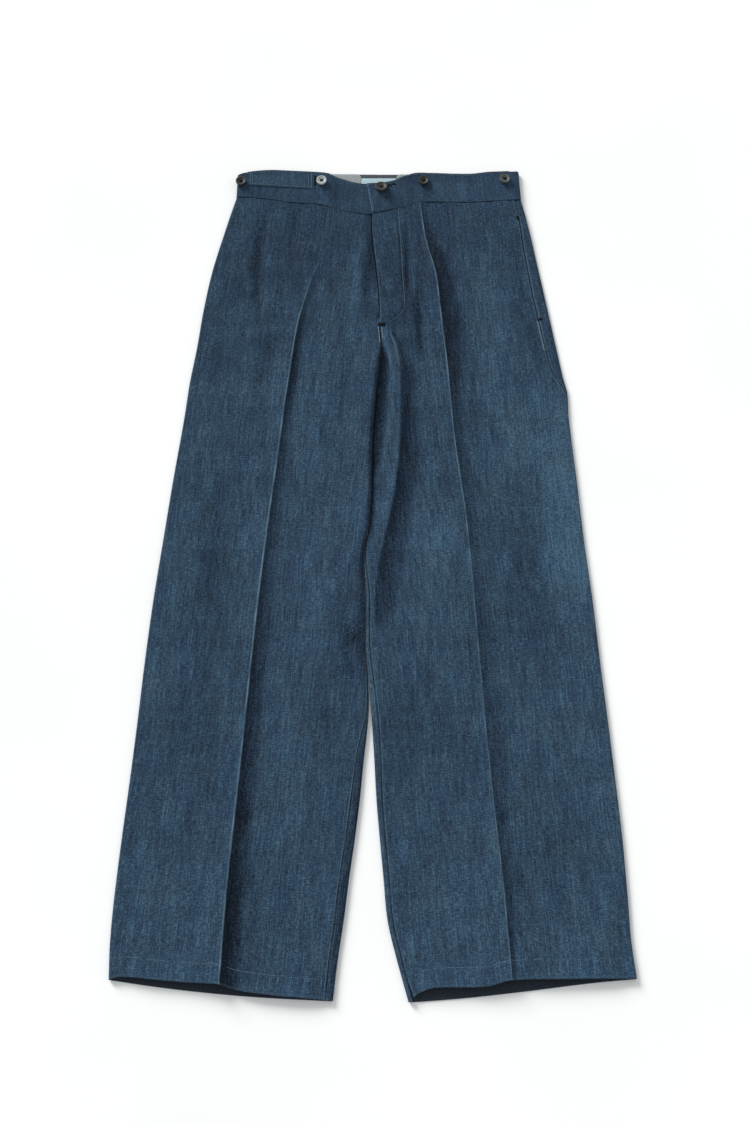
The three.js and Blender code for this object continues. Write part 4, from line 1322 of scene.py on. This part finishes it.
# One point of the band, and its wear and its tone with painted shade there
def band_point(leg, facts, c, part, start, end):
    inward = leg["inward"]
    from_fold = max(c["q"] - facts["outer"] - BAND_TOP / 2, 0)
    lean = BAND_LEAN[leg["name"]] * part * (1 - smooth(from_fold / BAND_LEAN_RUN))
    x = inward * (c["q"] + lean)
    mark = 0.16 * bell(part * BAND_HEIGHT - 1.6, 1.0)
    if inward < 0 and c["front"]:
        slant = clamp(1 - (end - c["q"]) / OVERLAP_SLANT)
        x += slant * part * (OVERLAP_TOP_X - inward * end)
        mark = max(mark, 0.5 * bell(end - c["q"], 0.8))
    waist = FRONT_WAIST if c["front"] else BACK_WAIST
    top = read(waist, "top", x, "x")
    if c["layer"] == "back":
        shows = BACK_SHOWS * smooth((abs(x - inward * facts["outer"]) - 3) / 14)
        top = max(top, read(FRONT_WAIST, "top", x, "x") + shows)
    y = mix(read(waist, "seam", x, "x") + 0.1, top, part)
    z = c["z"]
    if c["layer"] == "front":
        z += band_relief(leg, part, from_fold, x, y)
    return (x, y, z), mark, band_fade_and_shade(leg, part, c, start, x, y)


# A half of the waistband
def waistband(leg, materials):
    side, inward = leg["name"], leg["inward"]
    facts = row_facts(leg, WAIST_ROW)
    start = inward * BACK_JOIN_X
    end = facts["edge"] + facts["reach"] if inward > 0 else -facts["edge"]
    columns = band_columns(facts["outer"], start, end)
    rows, weave, wear_and_highlight, fade = [], [], [], []
    for part in BAND_PARTS:
        made = [band_point(leg, facts, c, part, start, end) for c in columns]
        points = [place for place, mark, tone in made]
        rows.append(points)
        weave.append([(u + leg["seed"] * 40, part * BAND_HEIGHT) for u in weave_across(points)])
        wear_and_highlight.append([mark for place, mark, tone in made])
        fade.append([tone for place, mark, tone in made])
    turned = inward < 0
    piece = sheet_from_rows(f"{side}_waistband", rows, weave, wear_and_highlight, fade, materials, BAND_WALL, turned)
    round_edges(piece, *ROUNDING["band"])
    return piece


# A flat patch of cloth lying at a height
def patch(name, left, right, bottom_at, top_at, z_at, wall, materials, across=40, down=12):
    rows, weave, wear_and_highlight, fade = [], [], [], []
    for k in range(down + 1):
        part = k / down
        points, marks, tones = [], [], []
        for i in range(across + 1):
            x = mix(left, right, i / across)
            y = mix(bottom_at(x), top_at(x), part)
            points.append((x, y, z_at(x, y) + wall))
            edge = min(part * (top_at(x) - bottom_at(x)), x - left, right - x)
            marks.append(0.3 * bell(edge, 1.0))
            tones.append(-0.3 + 0.8 * uneven(x * 0.03, y * 0.04, 97.0))
        rows.append(points)
        weave.append([(p[0], p[1]) for p in points])
        wear_and_highlight.append(marks)
        fade.append(tones)
    piece = sheet_from_rows(name, rows, weave, wear_and_highlight, fade, materials, wall, False)
    round_edges(piece, *ROUNDING["patch"])
    return piece


def pocket_mouth(x):
    p = WATCH_POCKET
    return mix(p["left_mouth"], p["right_mouth"], (x - p["left"]) / (p["right"] - p["left"]))


def watch_pocket(materials):
    p = WATCH_POCKET

    def top(x):
        return read(FRONT_WAIST, "top", x, "x") - p["top_margin"]

    def height(x, y):
        stitched = bell(x - p["left"], 3) + bell(x - p["right"], 3)
        puff = 0.2 * bell(y - pocket_mouth(x), 5) * (1 - clamp(stitched))
        return BAND_TOP - 0.3 + puff + 0.2 * uneven(x * 0.09, y * 0.08, 41.0)

    name = "watch_pocket_flap"
    return patch(name, p["left"], p["right"], pocket_mouth, top, height, POCKET_WALL, materials, 60, 14)


def lining(side, materials):
    p = LININGS[side]
    end = p["right"] if side == "left" else p["left"]

    def top(x):
        near = clamp(1 - abs(x - end) / LINING_CORNER)
        rounded = LINING_CORNER * (1 - math.sqrt(1 - near * near)) * 0.6
        return read(BACK_WAIST, "top", x, "x") - 0.6 - rounded

    def height(x, y):
        return INSIDE_Z + 0.12 * (1 + uneven(x * 0.12, y * 0.1, 51.0))

    name, bottom = f"{side}_lining", lambda x: p["bottom"]
    return patch(name, p["left"], p["right"], bottom, top, height, LINING_WALL, materials)


def label(materials):
    p = LABEL

    def height(x, y):
        return INSIDE_Z + 0.1 * (1 + uneven(x * 0.1, y * 0.1, 61.0))

    bottom, top = lambda x: p["bottom"], lambda x: p["top"]
    return patch("blank_label", p["left"], p["right"], bottom, top, height, LINING_WALL, materials)


# The faces of some pieces as one surface that stitches can be dropped on
def surface(*pieces):
    points, faces = [], []
    for piece in pieces:
        start = len(points)
        points += [v.co.copy() for v in piece.data.vertices]
        faces += [[start + i for i in p.vertices] for p in piece.data.polygons]
    return BVHTree.FromPolygons(points, faces)


def drop_on(cloth, x, y):
    place, normal, _, _ = cloth.ray_cast(Vector((x * MM, y * MM, 0.06)), Vector((0, 0, -1)))
    return place, normal


# In edit mode, with just those faces picked whose normal is wanted
def pick_faces(piece, wanted):
    bpy.ops.object.mode_set(mode="EDIT")
    bpy.ops.mesh.select_all(action="DESELECT")
    bpy.ops.object.mode_set(mode="OBJECT")
    for polygon in piece.data.polygons:
        polygon.select = wanted(polygon.normal)
    bpy.ops.object.mode_set(mode="EDIT")


# One stitch lying along X: a round bar with its ends drawn in
def stitch_shape():
    bpy.ops.object.select_all(action="DESELECT")
    bpy.ops.mesh.primitive_cylinder_add(vertices=6, radius=0.5, depth=1, rotation=(0, math.pi / 2, 0))
    bar = bpy.context.object
    bpy.ops.object.transform_apply(location=True, rotation=True, scale=True)
    pick_faces(bar, lambda normal: abs(normal.x) > 0.9)
    bpy.ops.mesh.inset(thickness=0.22, depth=0.16)
    bpy.ops.object.mode_set(mode="OBJECT")
    points = [v.co.copy() for v in bar.data.vertices]
    faces = [list(p.vertices) for p in bar.data.polygons]
    bpy.data.objects.remove(bar)
    return points, faces


STITCH_POINTS, STITCH_FACES = stitch_shape()


# Places a pitch apart along a line, with its direction there
def steps_along(line, pitch):
    out = []
    carry = 0.0
    for (ax, ay), (bx, by) in zip(line, line[1:]):
        length = math.hypot(bx - ax, by - ay)
        if length == 0:
            continue
        angle = math.atan2(by - ay, bx - ax)
        d = carry
        while d < length:
            out.append((ax + (bx - ax) * d / length, ay + (by - ay) * d / length, angle))
            d += pitch
        carry = d - length
    return out


# Rows of stitches sewn along lines over a cloth; worn_in is the share of them sunk out of sight
def stitches(name, cloth, lines, material, worn_in=0.0, **sizes):
    stitch = {**STITCH, **sizes}
    thickness = stitch["thickness"]
    points, faces = [], []
    for line in lines:
        for x, y, angle in steps_along(line, stitch["pitch"]):
            if uneven(x * 0.045, y * 0.045, 79.0) * 0.5 + 0.5 < worn_in:
                continue
            wobble = 0.12 * uneven(x * 0.7, y * 0.7, 71.0)
            half = stitch["length"] / 2 * (1 + 0.25 * uneven(x * 0.9, y * 0.9, 73.0))
            dx, dy = math.cos(angle) * half, math.sin(angle) * half
            aside_x, aside_y = -wobble * math.sin(angle), wobble * math.cos(angle)
            first, normal_a = drop_on(cloth, x - dx + aside_x, y - dy + aside_y)
            second, normal_b = drop_on(cloth, x + dx + aside_x, y + dy + aside_y)
            if first is None or second is None or abs(first.z - second.z) > 1.2 * MM:
                continue
            up = (normal_a + normal_b).normalized()
            along = second - first
            size = along.length
            if size < 0.2 * MM or up.length < 0.5:
                continue
            along.normalize()
            across = up.cross(along).normalized()
            up = along.cross(across)
            middle = (first + second) / 2 + up * (thickness * (0.5 - stitch["sink"])) * MM
            start = len(points)
            for p in STITCH_POINTS:
                aside = across * p.y * thickness * MM
                risen = up * p.z * thickness * MM
                points.append(middle + along * p.x * size + aside + risen)
            faces += [[start + i for i in f] for f in STITCH_FACES]
    piece = mesh_piece(name, points, faces)
    piece.data.materials.append(material)
    return piece


# A line so short that it takes a single stitch
def one_stitch(x, y, angle):
    return [(x, y), (x + 0.01 * math.cos(angle), y + 0.01 * math.sin(angle))]


# A bar tack: close short stitches side by side across a line
def tack_line(x, y, length, turn):
    angle = math.radians(turn)
    count = int(length / TACK["spacing"])
    lines = []
    for i in range(count):
        d = (i - (count - 1) / 2) * TACK["spacing"]
        lines.append(one_stitch(x + d * math.cos(angle), y + d * math.sin(angle), angle + math.pi / 2))
    return lines


# A line beside the inseam or the outseam of a front
def seam_line(leg, edge, rows, offset):
    out = []
    for row in rows:
        facts = row_facts(leg, row)
        inner, outer = facts["inner"] - facts["inseam"], facts["outer"] + facts["outseam"]
        x = leg["inward"] * ((inner if edge == "inner" else outer) + offset)
        out.append((x, row_y(leg, "front", True, x, row)))
    return out


def spaced(first, last, step):
    count = max(int(abs(last - first) / step), 1)
    return [mix(first, last, i / count) for i in range(count + 1)]


# A four-hole button with a raised rim and a dished middle, standing at the origin
def button_blank(diameter):
    radius, t = diameter / 2 * MM, BUTTON_THICKNESS * MM
    bpy.ops.object.select_all(action="DESELECT")
    bpy.ops.mesh.primitive_cylinder_add(vertices=56, radius=radius, depth=t, location=(0, 0, t / 2))
    disc = bpy.context.object
    bpy.ops.object.transform_apply(location=True, rotation=True, scale=True)
    pick_faces(disc, lambda normal: normal.z > 0.9)
    for across, rise in BUTTON_RINGS:
        bpy.ops.mesh.inset(thickness=radius * across, depth=rise * t)
    pick_faces(disc, lambda normal: normal.z < -0.9)
    bpy.ops.mesh.inset(thickness=radius * 0.3, depth=0)
    bpy.ops.object.mode_set(mode="OBJECT")
    round_edges(disc, *ROUNDING["button"])
    for i in range(4):
        angle = math.pi / 4 + i * math.pi / 2
        place = (HOLE_CIRCLE * math.cos(angle) * MM, HOLE_CIRCLE * math.sin(angle) * MM, t / 2)
        bpy.ops.object.select_all(action="DESELECT")
        bpy.ops.mesh.primitive_cylinder_add(vertices=16, radius=HOLE_RADIUS * MM, depth=3 * t, location=place)
        cut_away(disc, bpy.context.object)
    select_only(disc)
    bpy.ops.object.shade_smooth_by_angle(angle=math.radians(35))
    return disc


# A round thread along a line, closed at both ends
def add_thread(points, faces, line, radius):
    start = len(points)
    sides = BUTTON_THREAD["sides"]
    for i, p in enumerate(line):
        ahead = line[min(i + 1, len(line) - 1)] - line[max(i - 1, 0)]
        ahead.normalize()
        across = ahead.cross(Vector((0, 0, 1)))
        across = across.normalized() if across.length > 0.05 else Vector((1, 0, 0))
        up = across.cross(ahead).normalized()
        for k in range(sides):
            a = 2 * math.pi * k / sides
            points.append((p + (across * math.cos(a) + up * math.sin(a)) * radius) * MM)
    for i in range(len(line) - 1):
        for k in range(sides):
            a, b = start + i * sides + k, start + i * sides + (k + 1) % sides
            faces.append((a, b, b + sides, a + sides))
    faces.append(tuple(start + k for k in range(sides))[::-1])
    last = start + (len(line) - 1) * sides
    faces.append(tuple(last + k for k in range(sides)))


# Crossed thread through the holes and the wound shank under the button
def thread_blank(shank):
    points, faces = [], []
    for turn in (math.pi / 4, 3 * math.pi / 4):
        for side in (-BUTTON_THREAD["apart"], BUTTON_THREAD["apart"]):
            line = []
            steps = BUTTON_THREAD["steps"]
            for i in range(steps + 1):
                s = i / steps * 2 - 1
                arch = (BUTTON_THICKNESS * 0.68 + 0.55 * (1 - s**4)) if abs(s) < 0.999 else 0.2
                d = s * HOLE_CIRCLE
                x = d * math.cos(turn) - side * math.sin(turn)
                y = d * math.sin(turn) + side * math.cos(turn)
                line.append(Vector((x, y, arch)))
            add_thread(points, faces, line, BUTTON_THREAD["radius"])
    coil = []
    around, turn_steps = SHANK_THREAD["around"], SHANK_THREAD["steps"]
    steps = turn_steps * max(int(shank / SHANK_THREAD["pitch"]), 3)
    for i in range(steps + 1):
        a = i / turn_steps * 2 * math.pi
        height = -shank + 0.15 + (shank + 0.3) * i / steps
        coil.append(Vector((around * math.cos(a), around * math.sin(a), height)))
    add_thread(points, faces, coil, SHANK_THREAD["radius"])
    return mesh_piece("button_thread_blank", points, faces)


# A copy of a blank with its own mesh, leaned and carried to its place
def placed_copy(blank, name, spot, z, lean, material):
    piece = blank.copy()
    piece.data = blank.data.copy()
    piece.name = name
    piece.data.name = name
    bpy.context.scene.collection.objects.link(piece)
    move = Matrix.Translation((spot["x"] * MM, spot["y"] * MM, z * MM))
    leaned = Matrix.Rotation(math.radians(-lean), 4, "X")
    turned = Matrix.Rotation(math.radians(spot["turn"]), 4, "Z")
    piece.data.transform(move @ leaned @ turned)
    piece.data.materials.clear()
    piece.data.materials.append(material)
    return piece


# The camera, as the photograph was taken
camera_data = bpy.data.cameras.new("photo_camera")
camera_data.lens = 56
camera_data.sensor_width = 36
camera_data.sensor_fit = "AUTO"
camera = bpy.data.objects.new("photo_camera", camera_data)
camera.location = (0.0026, -0.77434, 2.08353)
camera.rotation_euler = (math.radians(20), 0, 0)
bpy.context.scene.collection.objects.link(camera)
bpy.context.scene.camera = camera

# Finishes
denim_front = denim_material("denim_front", 0.0, 0.84)
denim_back = denim_material("denim_back", -0.03, 0.84)
denim_band = denim_material("denim_band", 0.0, 0.64)
# The wrong side, near black as painted shade inside the hems
denim_inside_shaded = shaded_inside_material("denim_wrong_side_shaded")
band_inside = plain_cloth_material("band_facing", (0.014, 0.025, 0.036), (0.028, 0.047, 0.064), 0.1, 900)
lining_cloth = plain_cloth_material("lining_cloth", (0.17, 0.19, 0.20), (0.30, 0.33, 0.34), 0.2, 1500)
label_cloth = plain_cloth_material("label_cloth", (0.30, 0.43, 0.48), (0.43, 0.57, 0.62), 0.1, 1300)
horn = button_material("horn", (0.010, 0.009, 0.008), (0.035, 0.032, 0.028), 0.5)
grey_horn = button_material("grey_horn", (0.035, 0.038, 0.040), (0.095, 0.100, 0.102), 0.5)
shell = button_material("grey_shell", (0.26, 0.28, 0.28), (0.42, 0.44, 0.44), 0.45)
tonal_thread = thread_material("tonal_thread", (0.050, 0.092, 0.135), (0.100, 0.165, 0.215))
pale_thread = thread_material("pale_thread", (0.12, 0.18, 0.225), (0.23, 0.30, 0.35))
deep_thread = thread_material("deep_thread", (0.012, 0.024, 0.040), (0.030, 0.056, 0.084))
dark_thread = thread_material("dark_thread", (0.003, 0.004, 0.006), (0.009, 0.012, 0.016))

# The four leg panels
panels = {}
for leg in LEGS.values():
    for layer, cloth in (("front", denim_front), ("back", denim_back)):
        piece = leg_panel(leg, layer, [cloth, denim_inside_shaded])
        apply_modifiers(piece)
        panels[leg["name"], layer] = piece
        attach(piece, "root")
        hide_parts(f"{layer}_leg_{leg['name']}")

# The waistband, with the buttonhole cut through its right half
bands = {}
for leg in LEGS.values():
    band = waistband(leg, [denim_band, band_inside])
    bands[leg["name"]] = band
    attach(band, "root")
    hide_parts(f"waistband_{leg['name']}")

bpy.ops.object.select_all(action="DESELECT")
slot_turn = math.radians(BUTTONHOLE["turn"])
slot_middle = BUTTONHOLE["length"] / 2
slot_at = (
    (BUTTONHOLE["x"] + slot_middle * math.cos(slot_turn)) * MM,
    (BUTTONHOLE["y"] + slot_middle * math.sin(slot_turn)) * MM,
    (BAND_TOP + 2.2) * MM,
)
bpy.ops.mesh.primitive_cube_add(size=1, location=slot_at, rotation=(0, 0, slot_turn))
slit = bpy.context.object
slit.scale = (BUTTONHOLE["length"] * MM, BUTTONHOLE["width"] * 0.55 * MM, 4.2 * MM)
bpy.ops.object.transform_apply(location=False, rotation=False, scale=True)
cut_away(bands["right"], slit)

flap = watch_pocket([denim_band, denim_inside_shaded])
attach(flap, "root")
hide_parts("watch_pocket")

for side in LININGS:
    strip = lining(side, [lining_cloth])
    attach(strip, "root")
    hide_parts(f"waist_lining_{side}")

blank_label = label([label_cloth])
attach(blank_label, "root")
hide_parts("waist_label")

# Buttons and their thread
waist_blank = button_blank(WAIST_BUTTON["diameter"])
brace_blank = button_blank(BRACE_BUTTON["diameter"])
waist_thread_blank = thread_blank(WAIST_BUTTON["shank"])
brace_thread_blank = thread_blank(BRACE_BUTTON["shank"])

buttons = [("waist_button", waist_blank, waist_thread_blank, WAIST_BUTTON, WAIST_BUTTON)]
for place, spot in BRACE_BUTTONS.items():
    buttons.append((f"brace_button_{place}", brace_blank, brace_thread_blank, BRACE_BUTTON, spot))
for name, blank, thread, kind, spot in buttons:
    z = BUTTON_BASE + kind["shank"]
    finish = {"brace_button_inner_left": shell, "brace_button_outer_right": grey_horn}.get(name, horn)
    button = placed_copy(blank, f"{name}_disc", spot, z, kind["lean"], finish)
    winding = placed_copy(thread, f"{name}_thread", spot, z, kind["lean"], dark_thread)
    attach(button, "root")
    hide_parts(name)
    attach(winding, "root")
for blank in (waist_blank, brace_blank, waist_thread_blank, brace_thread_blank):
    bpy.data.objects.remove(blank)

# Stitching
right_cloth = surface(panels["right", "front"], panels["right", "back"])
both_legs = surface(*panels.values())
band_cloth = surface(bands["left"], bands["right"])
flap_cloth = surface(flap, bands["left"])


def sewn(piece):
    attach(piece, "root")


# Single stitches in dark thread, one to a line
def tacked(name, cloth, lines, length, thickness):
    return stitches(name, cloth, lines, dark_thread, length=length, pitch=TACK["pitch"], thickness=thickness)


band_lines = []
for first, last in ((-182, -10), (0, 196)):
    xs = spaced(first, last, 5)
    band_lines.append([(x, read(FRONT_WAIST, "top", x, "x") - 2.4) for x in xs])
overlap = [(-0.6, 488.5), (-4.2, 508), (-6.4, 522), (-8, 532)]
band_lines.append([(x + 2.2, y) for x, y in overlap])
band_lines.append([(-171.6, 516), (-171.6, 529)])
band_lines.append([(-168.4, 516), (-168.4, 529)])
sewn(stitches("band_stitches", band_cloth, band_lines, tonal_thread, thickness=0.5, worn_in=0.48))

mouth = [(x, pocket_mouth(x) + 1.7) for x in spaced(-167, -84, 5)]
flap_lines = [mouth]
for x in (-168.4, -165.2, -88.4, -84.2):
    flap_lines.append([(x, pocket_mouth(x) + 1), (x, read(FRONT_WAIST, "top", x, "x") - 3)])
sewn(stitches("watch_pocket_stitches", flap_cloth, flap_lines, tonal_thread))
tacks = tack_line(-79.6, 539, 15, 90)
sewn(tacked("watch_pocket_tack", flap_cloth, tacks, 2, 0.6))

below_fly = [[(7.2, 313), (9.0, 293)], [(12, 313), (13.6, 297)]]
sewn(stitches("fly_stitches", both_legs, [FLY_STITCH], tonal_thread, thickness=0.55))
second_row = [(x - 3.2, y) for x, y in FLY_STITCH[:5]]
sewn(stitches("upper_fly_stitches", both_legs, [second_row], deep_thread, thickness=0.6))
sewn(stitches("fork_stitches", both_legs, below_fly, pale_thread, thickness=0.65))
tacks = tack_line(11.3, 319.6, 9, 0)
sewn(tacked("fly_tack", both_legs, tacks, 3.4, 0.8))

right_leg, left_leg = LEGS["right"], LEGS["left"]
pocket_rows = spaced(480, 330, 5)
pocket_lines = [seam_line(right_leg, "outer", pocket_rows, -2.4)]
below_pocket = spaced(322, 240, 5)
pocket_lines.append(seam_line(right_leg, "outer", below_pocket, -1.6))
sewn(stitches("pocket_stitches", right_cloth, pocket_lines, tonal_thread, thickness=0.5, worn_in=0.5))
tacks = tack_line(196.8, 481, 7, 100) + tack_line(222, 327, 7, 20)
sewn(tacked("pocket_tacks", right_cloth, tacks, 2.2, 0.65))

inseam_lines = [
    seam_line(left_leg, "inner", spaced(-225, -528, 5), -1.7),
    seam_line(right_leg, "inner", spaced(-20, -528, 5), -1.7),
]
sewn(stitches("inseam_stitches", both_legs, inseam_lines, tonal_thread, thickness=0.5, worn_in=0.45))

hem_lines = []
for leg in LEGS.values():
    facts = row_facts(leg, HEM_STITCH_ROW)
    xs = [leg["inward"] * q for q in spaced(facts["outer"] + 6, facts["inner"] - 14, 6)]
    hem_lines.append([(x, row_y(leg, "front", True, x, HEM_STITCH_ROW)) for x in xs])
sewn(stitches("hem_stitches", both_legs, hem_lines, tonal_thread, thickness=0.52, worn_in=0.5))

# Worked edge of the buttonhole, with a fan of stitches at its far end
fan_x = BUTTONHOLE["x"] + (BUTTONHOLE["length"] + 0.1) * math.cos(slot_turn)
fan_y = BUTTONHOLE["y"] + (BUTTONHOLE["length"] + 0.1) * math.sin(slot_turn)
eyelet = []
for s in spaced(1, BUTTONHOLE["length"] - 1, 0.62):
    for side in (-1.45, 1.45):
        x = BUTTONHOLE["x"] + s * math.cos(slot_turn) - side * math.sin(slot_turn)
        y = BUTTONHOLE["y"] + s * math.sin(slot_turn) + side * math.cos(slot_turn)
        eyelet.append(one_stitch(x, y, slot_turn + math.pi / 2))
for k in range(7):
    a = slot_turn + math.radians(-75 + 25 * k)
    eyelet.append(one_stitch(fan_x + 1.1 * math.cos(a), fan_y + 1.1 * math.sin(a), a))
sewn(tacked("buttonhole_edge", band_cloth, eyelet, 1.5, 0.6))

# Floor and light
floor_material, floor_tree, floor_shader = new_material("pale_floor")
floor_place = node(floor_tree, "ShaderNodeTexCoord", -800, 0).outputs["Object"]
floor_cloud = grain(floor_tree, floor_place, (3, 3, 3), 2, -600, 0)
floor_shades = [(0.3, (0.90, 0.905, 0.90)), (0.7, (0.93, 0.935, 0.93))]
floor_colour = ramp(floor_tree, floor_cloud, floor_shades, -100, 0)
floor_tree.links.new(floor_colour, floor_shader.inputs["Base Color"])
set_inputs(floor_shader, {"Roughness": 0.9})
bpy.ops.object.select_all(action="DESELECT")
bpy.ops.mesh.primitive_plane_add(size=40, location=(0, 0, 0))
floor = bpy.context.object
floor.name = "floor"
floor.data.materials.append(floor_material)

world = bpy.data.worlds.new("soft_studio")
world.use_nodes = True
set_inputs(world.node_tree.nodes["Background"], {"Color": (0.97, 0.99, 1.0, 1), "Strength": 0.62})
bpy.context.scene.world = world
bpy.context.scene.view_settings.view_transform = "Standard"

# One broad lamp, low over the waist end on the left, as a row of windows would light the table
lamp_data = bpy.data.lights.new("window_light", "SUN")
lamp_data.energy = 3.9
lamp_data.angle = math.radians(24)
lamp = bpy.data.objects.new("window_light", lamp_data)
lamp.rotation_euler = Vector((0.62, -0.78, -0.42)).to_track_quat("-Z", "Y").to_euler()
bpy.context.scene.collection.objects.link(lamp)
